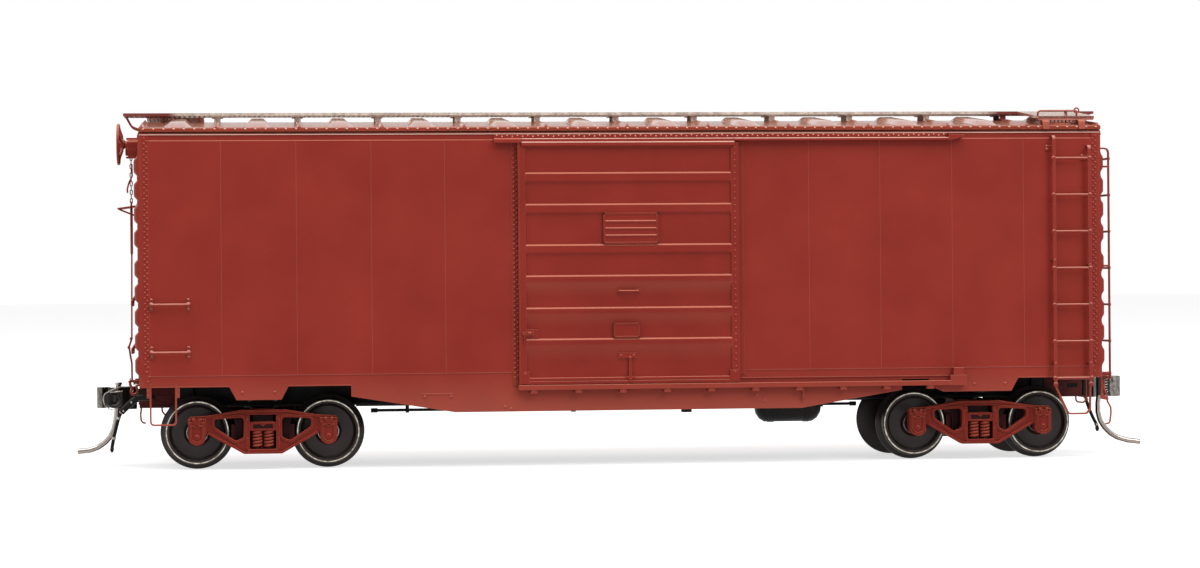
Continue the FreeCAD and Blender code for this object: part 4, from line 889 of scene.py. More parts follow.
def corner_irons():
    """Grab iron that turns the corner above each lateral walk."""
    top = WALK_HIGH - LATERAL_DROP
    side_y, start_x, end_x, rail = 0.6 - LATERAL_REACH, LATERAL_LOW, LATERAL_HIGH - 2.45, top + 1.08
    iron = Form()
    path = [(start_x, side_y, top - 0.1), (start_x, side_y, rail), (end_x, side_y, rail),
            (end_x, side_y + 6.5, rail + 0.4), (end_x, side_y + 6.5, top + 0.75)]
    iron.tube(rounded(path, 0.5, closed=False), 0.15, 10)
    for x, thick in ((end_x, 0.15), (end_x - 1.5, 0.08)):
        iron.tube([(x, side_y, top - 0.1), (x, side_y, rail)], thick, 10)
    iron.join(ring((end_x, side_y, rail + 0.06), 0.36, 0.12, "y", 14))
    feet = [(start_x, side_y, top), (end_x, side_y, top), (end_x, side_y + 6.5, top + 0.82)]
    iron.row(feet, (0, 0, 1), 0.34)
    piece("corner_grab_bars", iron.both(), "iron", nodes=["corner_grab_irons"])


def walk_supports():
    """Saddles on the roof's seams, and braces at the ends of the long walk."""
    supports = Form()
    for x in ROOF_SEAMS:
        supports.box((x - 0.85, x + 0.85), (-WALK_HALF + 0.1, WALK_HALF - 0.1),
                     (WALK_LOW + 0.1, WALK_LOW + 0.24))
        for way in (-1, 1):
            y = way * (WALK_HALF - 0.75)
            supports.box((x - 0.45, x + 0.45), (y - 0.12, y + 0.12),
                         (roof_height(y) + 0.05, WALK_LOW + 0.2))
            supports.dome((x, y + way * 0.12, (roof_height(y) + WALK_LOW) / 2 + 0.1), (0, way, 0), 0.2)
    piece("walk_saddles", supports, "walk", bevel=0.03)
    braces = Form()
    route = [(ROOF_END - 0.1, EAVE_TOP + 0.4), (ROOF_END + 1.5, EAVE_TOP + 1.0),
             (WALK_END - 0.7, WALK_LOW + 0.2)]
    for y in (-WALK_HALF + 0.9, WALK_HALF - 0.9):
        braces.prism(band(rounded(route, 1.2, closed=False), 0.3), "y", y - 0.2, y + 0.2)
    piece("walk_end_braces", braces.both(), "body", nodes=["running_board_supports"], bevel=0.04)


# ---------------------------------------------------------------- doors and tracks

DOOR_RIBS = [
    (0.188, 0.159, 0.141), (0.317, 0.288, 0.270), (0.450, 0.418, 0.402),
    (0.578, 0.546, 0.532), (0.746, 0.712, 0.699), (0.876, 0.842, 0.829),
]
DOOR_PANEL = DOOR_BACK + 0.45
STILE = 1.15


def door_leaf():
    """Panel with pressed ribs, between two flat stiles."""
    height = DOOR_HIGH - DOOR_LOW
    outline = [(-DOOR_BACK, DOOR_LOW), (-DOOR_FACE, DOOR_LOW), (-DOOR_FACE, DOOR_LOW + 0.46),
               (-DOOR_FACE + 0.2, DOOR_LOW + 0.5), (-DOOR_FACE + 0.05, DOOR_LOW + 0.56),
               (-DOOR_FACE + 0.05, DOOR_LOW + 0.93), (-DOOR_PANEL, DOOR_LOW + 0.96)]
    for top, flat, foot in ([DOOR_LOW + share * height for share in shares] for shares in DOOR_RIBS):
        outline += [(-DOOR_PANEL, foot), (-DOOR_FACE, flat), (-DOOR_FACE, top - 0.17),
                    (0.16 - DOOR_FACE, top - 0.01), (-DOOR_PANEL, top + 0.03)]
    outline += [(-DOOR_PANEL, DOOR_HIGH - 0.63), (-DOOR_FACE, DOOR_HIGH - 0.56), (-DOOR_FACE, DOOR_HIGH),
                (-DOOR_BACK, DOOR_HIGH)]
    form = Form().prism(outline, "x", STILE - DOOR_HALF, DOOR_HALF - STILE)
    for low, high in ((0.02 - DOOR_HALF, STILE - DOOR_HALF + 0.02), (DOOR_HALF - STILE - 0.02, DOOR_HALF)):
        form.box((low, high), (-DOOR_FACE + 0.06, -DOOR_BACK), (DOOR_LOW, DOOR_HIGH))
    form.box((0.02 - DOOR_HALF, 0.27 - DOOR_HALF), (-DOOR_FACE - 0.02, -DOOR_BACK),
             (DOOR_LOW + 0.1, DOOR_HIGH - 0.1))
    return form


def door_trim():
    """Rivets, boards, handle, latch and lifting lever of the right door."""
    form, face, panel = Form(), -DOOR_FACE, -DOOR_PANEL
    form.row([(DOOR_HALF - 0.6, face + 0.06, z) for z in steps(13.6, 46.9, 0.95)], OUT, 0.17)
    # Slatted placard board and small route board
    form.box((-3.78, 4.34), (face - 0.02, panel), (32.77, 37.4))
    for low, high in ((37.12, 37.4), (32.77, 33.02)):
        form.box((-3.78, 4.34), (face - 0.14, face), (low, high))
    for x in (-3.78, 4.1):
        form.box((x, x + 0.24), (face - 0.14, face), (32.8, 37.38))
    for z in (34.0, 35.05, 36.1):
        form.prism([(face, z - 0.16), (face - 0.16, z - 0.12), (face - 0.16, z), (face, z + 0.16)], "x",
                   -3.5, 4.08)
    form.box((-2.39, 1.5), (face - 0.02, panel), (18.97, 21.13))
    for across, up in (((-2.39, 1.5), (18.97, 19.17)), ((-2.39, 1.5), (20.93, 21.13)),
                       ((-2.39, -2.19), (18.99, 21.1)), ((1.3, 1.5), (18.99, 21.1))):
        form.box(across, (face - 0.13, face), up)
    # Grab handle
    grip = [(-1.5, panel, 25.8), (-1.5, face - 0.15, 25.8), (1.3, face - 0.15, 25.8), (1.3, panel, 25.8)]
    form.tube(rounded(grip, 0.3, closed=False), 0.17, 10)
    for low, high in ((-1.85, -1.1), (0.95, 1.7)):
        form.box((low, high), (panel - 0.12, panel), (25.45, 26.15))
    # Latch at the leading stile
    form.box((-15.4, -13.5), (panel - 0.25, panel), (19.1, 20.3))
    form.box((-15.9, -14.2), (face - 0.12, panel), (19.45, 19.95))
    form.dome((-14.8, face - 0.12, 19.7), OUT, 0.24)
    form.tube([(-15.55, face - 0.05, 19.8), (-15.55, face - 0.05, 18.3)], 0.13)
    # Lifting lever over the lower rail
    form.box((-1.7, 1.0), (panel - 0.22, panel), (15.95, 16.75))
    form.row([(-1.3, panel - 0.22, 16.35), (0.6, panel - 0.22, 16.35)], OUT, 0.16)
    form.prism([(-0.2, 12.4), (0.25, 12.4), (0.16, 16.2), (-0.12, 16.2)], "y", face - 0.12, face + 0.1)
    form.dome((0.0, face - 0.12, 16.0), OUT, 0.25)
    form.box((-0.75, 0.8), (face - 0.1, face + 0.1), (12.95, 13.3))
    # Rollers' covers at the foot of the stiles
    for x in (0.25 - DOOR_HALF, DOOR_HALF - 1.5):
        form.box((x, x + 1.3), (face - 0.05, panel), (12.3, 14.1))
        form.dome((x + 0.7, face - 0.05, 13.75), OUT, 0.2)
    return form


HOOD_HALF, HOOD_LIP, HOOD_SHELF, TRACK_LEDGE, TRACK_LIP = DOOR_HALF - 0.65, 47.2, 47.72, 48.25, 47.9


def upper_track():
    """Track over the right door with a hood in front of the shut door's top, and pale strips along its
    edges as painted highlights.
    """
    form, lit = Form(), Form()
    top, reach = UPPER_HIGH + 0.15, TRACK_FACE - 0.1

    def bead(low, high, y, z, radius=0.06):
        lit.prism(arc((y, z), radius, 90, 270, 4), "x", low, high)

    for low, high, lip in ((TRACK_START, -HOOD_HALF, TRACK_LIP - 0.24), (HOOD_HALF, TRACK_STOP, TRACK_LIP)):
        form.prism([(-SIDE, top), (-SIDE - 0.16, top), (-SIDE - 0.18, TRACK_LEDGE + 0.12),
                    (0.12 - reach, TRACK_LEDGE + 0.06), (-reach, TRACK_LEDGE - 0.06), (-reach, lip + 0.08),
                    (0.06 - reach, lip), (0.18 - reach, lip),
                    (0.22 - reach, lip + 0.2), (-SIDE, lip + 0.24)], "x", low, high)
    reach = TRACK_FACE
    form.prism([(-SIDE, top), (-SIDE - 0.16, top), (-SIDE - 0.18, TRACK_LEDGE + 0.1),
                (0.42 - reach, TRACK_LEDGE + 0.06), (0.32 - reach, TRACK_LEDGE - 0.05),
                (0.3 - reach, HOOD_SHELF + 0.12), (0.1 - reach, HOOD_SHELF + 0.06),
                (-reach, HOOD_SHELF - 0.06), (-reach, HOOD_LIP + 0.08), (0.06 - reach, HOOD_LIP),
                (0.18 - reach, HOOD_LIP), (0.22 - reach, DOOR_HIGH + 0.05), (-SIDE, DOOR_HIGH + 0.06)],
               "x", -HOOD_HALF, HOOD_HALF)
    bead(-HOOD_HALF, HOOD_HALF, 0.03 - reach, HOOD_SHELF)
    bead(-HOOD_HALF, HOOD_HALF, 0.33 - reach, TRACK_LEDGE, 0.05)
    bead(HOOD_HALF, TRACK_STOP, 0.12 - reach, TRACK_LEDGE, 0.05)
    form.prism([(TRACK_STOP, UPPER_LOW + 0.1), (TRACK_STOP + 0.3, UPPER_LOW + 0.1), (TRACK_END, 48.35),
                (TRACK_END, 48.7), (TRACK_STOP, UPPER_HIGH)], "y", -TRACK_FACE, -SIDE)
    return form, lit


def lower_track():
    """Ledge that the right door runs on, its brackets and its end stop."""
    form = Form()
    form.prism([(-SIDE, LEDGE_LOW), (-TRACK_FACE + 0.06, LEDGE_LOW), (-TRACK_FACE, LEDGE_LOW + 0.06),
                (-TRACK_FACE, 12.08), (-TRACK_FACE + 0.06, 12.14), (-TRACK_FACE + 0.2, 12.14),
                (-TRACK_FACE + 0.2, 11.75), (-SIDE, 11.75)], "x", -DOOR_HALF - 0.1, TRACK_STOP)
    form.box((DOOR_HALF + 0.2, TRACK_STOP), (-SIDE - 0.13, 0.1 - SIDE), (12.72, 12.88))
    form.box((TRACK_STOP, TRACK_END), (-TRACK_FACE, -SIDE), (LEDGE_LOW, 12.9))
    form.box((TRACK_STOP + 0.5, TRACK_END - 0.4), (-TRACK_FACE + 0.1, -SIDE), (12.9, 14.0))
    for x in steps(2.2 - DOOR_HALF, TRACK_STOP - 3.0, 6.72):
        form.box((x - 0.5, x + 0.5), (-TRACK_FACE + 0.2, -SIDE), (LEDGE_LOW - 0.5, LEDGE_LOW + 0.1))
        form.dome((x, -TRACK_FACE + 0.2, LEDGE_LOW - 0.2), OUT, 0.15)
    return form


def make_doors():
    """Both doors on their bodies, and the tracks on the car."""
    for side, shape in SIDES:
        body = "door_" + side
        piece(f"door_{side}_leaf", shape(door_leaf()), "door", body, nodes=[body], bevel=0.05)
        piece(f"door_{side}_trim", shape(door_trim()), "door", body, bevel=0.04)
    upper, lit = upper_track()
    # The track's pale strips and its rivets use the pale bead paint as painted highlights.
    piece("track_lit_edges", lit.both(), "bead")
    rivets = Form()
    for number, x in enumerate(steps(TRACK_START + 0.5, TRACK_STOP - 0.5, 0.76)):
        rivets.dome((x, -SIDE - 0.16, 48.74 + 0.08 * (-1) ** number), OUT, 0.11)
    piece("upper_door_tracks", upper.both(), "body", nodes=["door_tracks_upper"], bevel=0.04)
    piece("upper_track_rivets", rivets.both(), "bead")
    piece("lower_door_tracks", lower_track().both(), "body", nodes=["door_tracks_lower"], bevel=0.04)


# ---------------------------------------------------------------- ladders, irons and steps

LADDER_FACE = -span("side_ladders", "y")[0]
LADDER_LOW, LADDER_HIGH = span("side_ladders", "z")
STILE_WALL, RUNG = 0.5, 0.21
LADDER_OUT = HALF - 2.1
LADDER_IN = LADDER_OUT - 5.4
OUTER_TOP = LADDER_HIGH - 1.5
RUNG_HEIGHTS = steps(12.23, 45.1, 5.478)
END_STILES = (1.05 - SIDE, 6.45 - SIDE)


def stile(wall, face, top, low, thick):
    """Flat bar up the ladder, its top bent back to the wall, as an outline across and up."""
    reach = face + STILE_WALL * 0.35
    return band(rounded([(wall, top - 0.16), (reach, top - 0.16), (reach, low)], 0.9, closed=False), thick)


def ladders():
    """Side ladders, with nuts at their rungs, and end ladders."""
    form = Form()
    for x, top in ((LADDER_IN, LADDER_HIGH + 0.25), (LADDER_OUT, OUTER_TOP + 0.3)):
        form.prism(stile(-SIDE, -LADDER_FACE, top, LADDER_LOW, 0.32), "x", x - 0.25, x + 0.25)
        for z in (14.5, (top + LADDER_LOW) / 2):
            form.box((x - 0.22, x + 0.22), (-LADDER_FACE + 0.2, -SIDE), (z - 0.2, z + 0.2))
            form.dome((x, -LADDER_FACE + 0.06, z), OUT, 0.2, 0.1)
        nut = x + math.copysign(0.1, x - LADDER_IN - 1)
        for z in RUNG_HEIGHTS:
            form.dome((nut, -LADDER_FACE + 0.03, z), OUT, 0.34, 0.14, 10)
        form.box((x - 1.1, x + 0.2), (-SIDE - 0.12, 0.1 - SIDE), (top - 2.2, top - 1.5))
        form.row([(x - 0.8, -SIDE - 0.12, top - z) for z in (1.62, 2.08)], OUT, 0.24)
        form.dome((x, -LADDER_FACE + 0.03, LADDER_LOW + 0.1), OUT, 0.38, 0.12, 12)
    for z in RUNG_HEIGHTS:
        form.tube([(LADDER_IN, 0.25 - LADDER_FACE, z), (LADDER_OUT, 0.25 - LADDER_FACE, z)], RUNG, 10)
    ends = Form()
    for turned, face in ((False, HALF + 1.6), (True, CREST + 0.5)):
        ladder = Form()
        for y in END_STILES:
            bar = stile(HALF - 0.1, face - STILE_WALL * 0.7, OUTER_TOP, SILL_BOTTOM, 0.24)
            ladder.prism(bar, "y", y - 0.25, y + 0.25)
            for z in (12.9, 29.0, 43.9):
                ladder.box((HALF - 0.1, face - 0.2), (y - 0.22, y + 0.22), (z - 0.14, z + 0.14))
            for z in RUNG_HEIGHTS:
                ladder.dome((face - 0.08, y, z), (1, 0, 0), 0.28, 0.16)
        for z in RUNG_HEIGHTS:
            ladder.tube([(face - 0.2, y, z) for y in END_STILES], 0.18, 10)
        ends.join(ladder.turned() if turned else ladder)
    piece("side_ladder_stiles", form.both(), "iron", nodes=["side_ladders"], bevel=0.04)
    piece("end_ladder_stiles", ends, "iron", nodes=["end_ladders"], bevel=0.04)


def grab_irons():
    """Two irons on each side and two on each end, near the corners without ladders."""
    sides, ends = Form(), Form()
    low_x, high_x = 1.8 - HALF, 7.1 - HALF
    near, far = 1.98 - SIDE, 7.28 - SIDE
    for z in (24.35, 17.4):
        wall, bar = -SIDE, -SIDE - 1.0
        sides.tube(rounded([(low_x, wall, z), (low_x, bar, z), (high_x, bar, z), (high_x, wall, z)],
                           0.45, closed=False), RUNG, 10)
        for x in (low_x, high_x):
            sides.box((x - 0.22, x + 0.22), (wall - 0.08, 0.1 + wall), (z - 0.9, z + 0.9))
            sides.row([(x, wall - 0.08, z + rise) for rise in (-0.7, 0.7)], OUT, 0.27)
            sides.dome((x, wall - 0.08, z), OUT, 0.4, 0.3, 10)
        rib, bar = -CREST + 0.1, -CREST - 0.4
        path = [(rib, near, z + 1.3), (bar, near, z + 0.6), (bar, near, z),
                (bar, far, z), (bar, far, z + 0.6), (rib, far, z + 1.3)]
        ends.tube(rounded(path, 0.3, closed=False), 0.18, 10)
    piece("side_irons", sides.both(), "iron", nodes=["side_grab_irons"])
    piece("end_irons", ends.both(), "iron", nodes=["end_grab_irons"])


STRAP = 0.25


def sill_steps():
    """Sill steps of the right side: a plain one at B and a bent one under the ladder."""
    form = Form()
    low_x, high_x, foot = 1.45 - HALF, 5.35 - HALF, span("sill_steps", "z")[0]
    middle = STRAP / 2
    path = [(low_x + middle, SILL_BOTTOM + 0.5), (low_x + middle, foot + middle),
            (high_x - middle, foot + middle), (high_x - middle, SILL_BOTTOM + 0.5)]
    form.prism(band(rounded(path, 0.55, closed=False), STRAP), "y", -SIDE, 0.36 - SIDE)
    for x, way in ((low_x + middle, -1), (high_x - middle, 1)):
        form.box(sorted((x - way * 0.1, x + way * 0.55)), (0.05 - SIDE, 0.45 - SIDE),
                 (SILL_BOTTOM - 1.5, SILL_BOTTOM))
        form.row([(x + way * 0.33, 0.05 - SIDE, SILL_BOTTOM - z) for z in (0.4, 1.1)], OUT, 0.13)
    path = [(LADDER_IN, LADDER_LOW + 0.2), (LADDER_IN + 0.05, 10.9), (LADDER_IN + 1.67, 7.5),
            (LADDER_IN + 1.95, foot + middle), (LADDER_OUT - 0.7, foot + middle), (LADDER_OUT - 0.15, 7.6),
            (LADDER_OUT - 0.1, LADDER_LOW + 0.2)]
    form.prism(band(rounded(path, 0.5, closed=False), STRAP), "y", -LADDER_FACE, 0.5 - LADDER_FACE)
    piece("sill_step_straps", form.both(), "body", nodes=["sill_steps"], bevel=0.06)


# ---------------------------------------------------------------- hand brake

BRAKE_SIDE = sum(span("brake_wheel", "y")) / 2
BRAKE_HEIGHT = sum(span("brake_wheel", "z")) / 2
BRAKE_RADIUS = (span("brake_wheel", "y")[1] - span("brake_wheel", "y")[0]) / 2 - 0.24
RIM_X = span("brake_wheel", "x")[0] + 0.24


SPOKES = 5
HOUSING_MIDDLE = 47.8
ROD_X, CRANK_Y = -CREST - 0.85, -4.8


def brake_wheel():
    """Rim, dished spokes and hub on the B end."""
    centre = Vector((RIM_X + 0.22, BRAKE_SIDE, BRAKE_HEIGHT))
    wheel = ring(centre, BRAKE_RADIUS, 0.23, "x", 48)
    for i in range(SPOKES):
        angle = 2 * math.pi * i / SPOKES + 0.3
        way = Vector((0, math.cos(angle), math.sin(angle)))
        dish = ((0.55, 0.4), (0.5, 1.2), (0.15, 2.2), (0.0, BRAKE_RADIUS))
        wheel.tube([centre + Vector((inward, 0, 0)) + way * out for inward, out in dish], 0.2, 8)
    hub = [(-0.1, 0.35), (0.0, 0.6), (0.3, 0.75), (0.8, 0.75), (0.95, 0.55), (1.6, 0.4)]
    wheel.turn(hub, centre, "x", 20)
    wheel.dome(centre + Vector((-0.05, 0, 0)), (-1, 0, 0), 0.3, 0.18)
    piece("brake_wheel_rim", wheel, "body", nodes=["brake_wheel"], angle=45)


def brake_housing():
    """Gear case behind the wheel, with its bolts and brackets."""
    face = span("brake_housing", "x")[0]
    case = Form()
    for spread, low, high in ((0.0, face + 0.35, -HALF), (-0.3, face, face + 0.4)):
        outline = [(-0.9, 46.4), (0.9, 46.4), (1.5, 47.55), (1.5, 48.65), (0.8, 49.08), (-0.8, 49.08),
                   (-1.5, 48.65), (-1.5, 47.55)]
        outline = [(BRAKE_SIDE + y * (1 + spread / 1.5),
                    z if not spread else HOUSING_MIDDLE + (z - HOUSING_MIDDLE) * 0.8) for y, z in outline]
        case.prism(outline, "x", low, high)
    bolts = ((-1.25, 47.7), (1.25, 47.7), (-1.2, 48.6), (1.2, 48.6))
    case.row([(face + 0.35, BRAKE_SIDE + y, z) for y, z in bolts], (-1, 0, 0), 0.16)
    case.box((face + 0.15, -HALF - 0.25), (BRAKE_SIDE - 0.85, BRAKE_SIDE + 0.85), (49.0, 49.3))
    case.box((face + 0.1, -HALF - 0.1), (BRAKE_SIDE - 1.0, BRAKE_SIDE + 1.0), (46.25, 46.5))
    piece("brake_housing_case", case, "body", nodes=["brake_housing"], bevel=0.1)


def brake_rod():
    """Chain below the housing, the rod down to its bracket, and the bell crank at the sill."""
    x, y, chain = ROD_X, BRAKE_SIDE, Form()
    for i, z in enumerate(steps(39.9, 46.3, 0.62)):
        chain.join(ring((x, y, z), 0.17, 0.08, "x" if i % 2 else "y", 10, 6, 0.18))
    pawl = [(x + 0.1, y, 45.4), (x + 0.15, y, 43.6), (x - 0.35, y, 42.6), (x - 0.6, y, 41.6),
            (x - 0.55, y, 41.1)]
    chain.tube(rounded(pawl, 0.6, closed=False), 0.12)
    chain.turn([(31.9, 0.1), (32.0, 0.2), (38.9, 0.2), (39.7, 0.1)], (x, y, 0), "z", 10)
    chain.tube([(x, y, 39.8), (x, y, 31.9), (x - 0.1, y, 19.2)], 0.12)
    chain.dome((x - 0.2, y, 19.3), (-1, 0, 0), 0.26, 0.2)
    for across in (-0.28, 0.16):
        strap = [(x - 0.05, 19.5), (x - 0.5, 18.1), (x - 0.36, 17.0), (x - 0.12, 15.6), (x - 0.1, 13.0)]
        chain.prism(band(rounded(strap, 0.8, closed=False), 0.26), "y", y + across, y + across + 0.12)
    chain.row([(x - 0.62, y, 18.0), (x - 0.35, y, 13.2)], (-1, 0, 0), 0.24)
    chain.box((-CREST - 1.2, -HALF), (y - 0.5, y + 0.5), (12.75, 13.1))
    y = CRANK_Y
    chain.tube(rounded([(x - 0.4, y, 13.1), (x - 0.25, y, 12.4), (x + 0.05, y, 11.9), (x - 0.2, y, 11.5),
                        (x - 0.1, y, 11.1), (x + 0.5, y, 11.0), (x + 0.85, y, 11.6), (x + 0.5, y, 12.3),
                        (-HALF, y, 12.6)],
                       0.35, closed=False), 0.2)
    chain.tube(rounded([(x + 0.75, y, 11.3), (x + 1.2, y, 11.1), (x + 1.35, y, 10.5), (x + 1.0, y, 10.2),
                        (x + 0.45, y, 10.5)], 0.25, closed=False), 0.18)
    piece("brake_chain", chain, "body", nodes=["brake_rod"], angle=50)


def brake_step():
    """Tilted grating step below the wheel on two struts."""
    tip, top = span("brake_step", "x")[0], span("brake_step", "z")[1]
    step = grating(tip, -CREST - 0.1, BRAKE_SIDE - 2.4, BRAKE_SIDE + 2.4, 0.6, 7, 0.2)
    tilt = Matrix.Translation((tip, 0, top - 0.1)) @ Matrix.Rotation(math.radians(-8), 4, "Y")
    step = step.moved(tilt @ Matrix.Translation((-tip, 0, 0)))
    for y in (BRAKE_SIDE - 2.1, BRAKE_SIDE + 1.8):
        path = [(tip + 0.25, top - 0.3), (-CREST + 0.1, top - 1.35)]
        step.prism(band(path, 0.22), "y", y, y + 0.34)
    piece("brake_step_grating", step, "body", nodes=["brake_step"])


# ---------------------------------------------------------------- underframe

def underframe():
    """Sills and rods from the CAD with soft edges, and the tank and cylinder turned anew."""
    for node, finish, bevel in (
            ("floor", "black", 0.05), ("ballast_weight", "ballast", 0.1), ("center_sill", "black", 0.08),
            ("body_bolsters", "black", 0.08), ("crossbearers", "black", 0.06),
            ("control_valve", "black", 0.1), ("brake_levers", "black", 0.05), ("train_line", "black", 0.0)):
        softened(node, finish, "car_body", bevel)

    low, high = span("air_reservoir", "x")
    bottom = span("air_reservoir", "z")[0]
    side, radius = -8.0, 2.7
    height = bottom + radius
    tank, length = Form(), high - low
    shell = [(low, 0.3), (low + 0.25, 1.5), (low + 0.75, 2.25), (low + 1.5, radius), (high - 1.5, radius),
             (high - 0.75, 2.25), (high - 0.25, 1.5), (high, 0.3)]
    tank.turn(shell, (0, side, height), "x", 40)
    tank.turn([(low - 0.01, 0.5), (low + 0.4, 0.5)], (0, side, height), "x", 12)
    for share in (0.196, 0.725):
        x = low + share * length
        tank.turn([(x, radius - 0.2), (x, radius + 0.08), (x + 0.9, radius + 0.08),
                   (x + 0.9, radius - 0.2)],
                  (0, side, height), "x", 40)
        tank.box((x, x + 0.9), (side - 0.6, side + 0.6), (height + radius - 0.3, FLOOR_BOTTOM))
        for way in (-1, 1):
            tank.box((x + 0.1, x + 0.8), (side + way * 2.7 - 0.25, side + way * 2.7 + 0.25),
                     (height, FLOOR_BOTTOM))
            tank.dome((x + 0.45, side + way * 2.95, height + 0.8), (0, way, 0), 0.2)
    piece("reservoir_tank", tank, "black", nodes=["air_reservoir"], bevel=0.03)

    cylinder = Form()
    barrel = [(-14.0, 1.2), (-13.7, 1.9), (-13.3, 2.0), (-12.9, 2.0), (-12.8, 1.85), (-7.3, 1.85),
              (-7.2, 2.0), (-6.2, 2.0), (-6.2, 2.28), (-5.5, 2.28), (-5.4, 1.9)]
    cylinder.turn(barrel, (0, 7.5, 9.4), "x", 32)
    for i in range(8):
        angle = math.pi * i / 4
        cylinder.dome((-5.5, 7.5 + 2.05 * math.cos(angle), 9.4 + 2.05 * math.sin(angle)), (1, 0, 0), 0.2,
                      0.12)
    cylinder.tube([(-13.8, 7.5, 8.8), (-18.4, 7.5, 8.8)], 0.3, 12)
    cylinder.box((-12.5, -7.7), (6.9, 8.1), (11.0, FLOOR_BOTTOM))
    piece("brake_cylinder_barrel", cylinder, "black", nodes=["brake_cylinder"], bevel=0.03)

    pins = Form()
    for way in (-1, 1):
        for x, y, z in ((way * 18.5, -way * 1.6, 8.4), (way * 18.5, 7.5, 8.4)):
            pins.dome((x, y, z), (0, 0, 1), 0.4, 0.25, 10)
        for x in (way * 20.5, way * 37.0):
            pins.tube([(x - 0.5, way * 1.6, 8.1), (x + 0.5, way * 1.6, 8.1)], 0.34, 10)
    piece("lever_pins", pins, "black")


# ---------------------------------------------------------------- hoses and uncoupling levers

CENTER_BOTTOM = span("center_sill", "z")[0]


LEVER_HIGH = SILL_BOTTOM + 0.3
LEVER_BARS = (span("uncoupling_levers", "x")[1] - 0.23, HALF + 1.4)
LEVER_HANDLES = (
    [(1.15, 9.3), (1.18, 8.6), (1.68, 7.65), (1.72, 6.95), (1.55, 5.6), (1.35, 5.28), (0.87, 5.23)],
    [(0.8, 9.0), (0.85, 8.3), (0.98, 7.3), (0.92, 6.4), (0.68, 6.0), (0.2, 5.9)])


def air_hoses():
    """Hose with its fittings at each end, hanging a little differently at B."""
    side, top = 5.6, CENTER_BOTTOM + 1.6
    hoses, clamps, palms = Form(), Form(), Form()
    for turned, reach, foot in ((False, 5.3, 3.55), (True, 4.5, 2.95)):
        hose, clamp, palm = Form(), Form(), Form()
        hose.tube([(HALF - 1.5, side, top), (HALF + 1.0, side, top)], 0.5, 12)
        if turned:
            hose.tube([(HALF + 0.9, side, top - 0.2), (HALF + 2.2, side, 9.35), (HALF + 3.15, side, 8.45)],
                      0.5, 12)
            clamp.row([(HALF + 1.58, side + 0.45, 9.9), (HALF + 2.76, side + 0.45, 8.65)], (0, 1, 0), 0.16)
        hose.box((HALF - 0.8, HALF - 0.1), (side - 0.4, side + 0.4), (top, SILL_BOTTOM))
        hose.box((HALF + 0.0, HALF + 0.5), (side - 0.16, side + 0.16), (top + 0.3, top + 1.3))
        bend = [(0.6, top), (2.6, top + 0.1), (3.35, top - 1.0), (3.6, 7.9), (0.3 + 0.7 * reach, 6.7),
                (0.87 * reach, 5.3), (0.96 * reach, 4.4), (reach, foot + 0.3)]
        if turned:
            bend = [(2.2, 9.35), (3.15, 8.45), (3.5, 7.6), (3.78, 6.5), (4.2, 4.8), (reach, foot + 0.3)]
        path = rounded([(HALF + out, side, z) for out, z in bend], 1.5, closed=False, steps=6)
        hose.tube(path, 0.26, 12)
        for number in (2, len(path) // 3, len(path) - 3):
            a, b = Vector(path[number]), Vector(path[number + 1])
            clamp.tube([a, a + (b - a).normalized() * 0.35], 0.31, 12)
        palm.turn([(-0.28, 0.15), (-0.28, 0.28), (0.22, 0.3), (0.3, 0.24), (0.3, 0.1)],
                  (HALF + reach, side, foot), "y", 20)
        palm.prism(rounded([(HALF + reach - 0.3, foot + 0.35), (HALF + reach - 0.15, foot - 0.45),
                            (HALF + reach + 0.2, foot - 0.45), (HALF + reach + 0.25, foot + 0.35)], 0.12),
                   "y", side - 0.2, side + 0.15)
        for whole, part in ((hoses, hose), (clamps, clamp), (palms, palm)):
            whole.join(part.turned() if turned else part)
    piece("hose_clamps", clamps, "steel")
    piece("hose_tubes", hoses, "black", nodes=["air_hoses"], angle=50)
    piece("hose_couplings", palms, "black", bevel=0.05)



def uncoupling_levers():
    """Bent lever bars with their handles, and the chains that lead to the couplers."""
    bar, levers = LEVER_HIGH, []
    for x, handle in zip(LEVER_BARS, LEVER_HANDLES):
        lever = Form()
        path = [(x, -0.6, bar), (x, -12.4, bar), (HALF + 0.9, -14.4, bar - 1.0),
                (HALF + 0.75, -15.0, 10.4)] + [(HALF + out, -15.2, z) for out, z in handle]
        lever.tube(rounded(path, 0.25, closed=False), 0.14, 10)
        for y in (-4.7, -11.6):
            lever.box((HALF - 0.05, x + 0.25), (y - 0.2, y + 0.2), (bar - 0.3, bar + 0.32))
            lever.box((HALF - 0.02, HALF + 0.3), (y - 0.5, y + 0.5), (bar - 0.2, bar + 0.7))
        lever.box((HALF + 0.15, HALF + 0.5), (-15.35, -15.05), (9.3, SILL_BOTTOM + 0.1))
        lever.prism(rounded([(HALF + 0.1, 9.9), (HALF + 0.15, 8.95), (HALF + 1.3, 8.75), (HALF + 1.3, 9.1)],
                            0.15),
                    "y", -15.4, -15.0)
        levers.append(lever)
    lever = levers[0].join(levers[1].turned())
    piece("uncoupling_lever_bars", lever, "body", nodes=["uncoupling_levers"], angle=50)

    links = Form()
    for lever_x, (_, shape) in zip(LEVER_BARS, ENDS):
        for i, x in enumerate(steps(HALF + 0.6, lever_x, 0.26)):
            links.join(shape(ring((x, -0.55, bar - 0.24), 0.15, 0.05, "z" if i % 2 else "y", 10, 6)))
    piece("lift_chains", links, "black", angle=50)


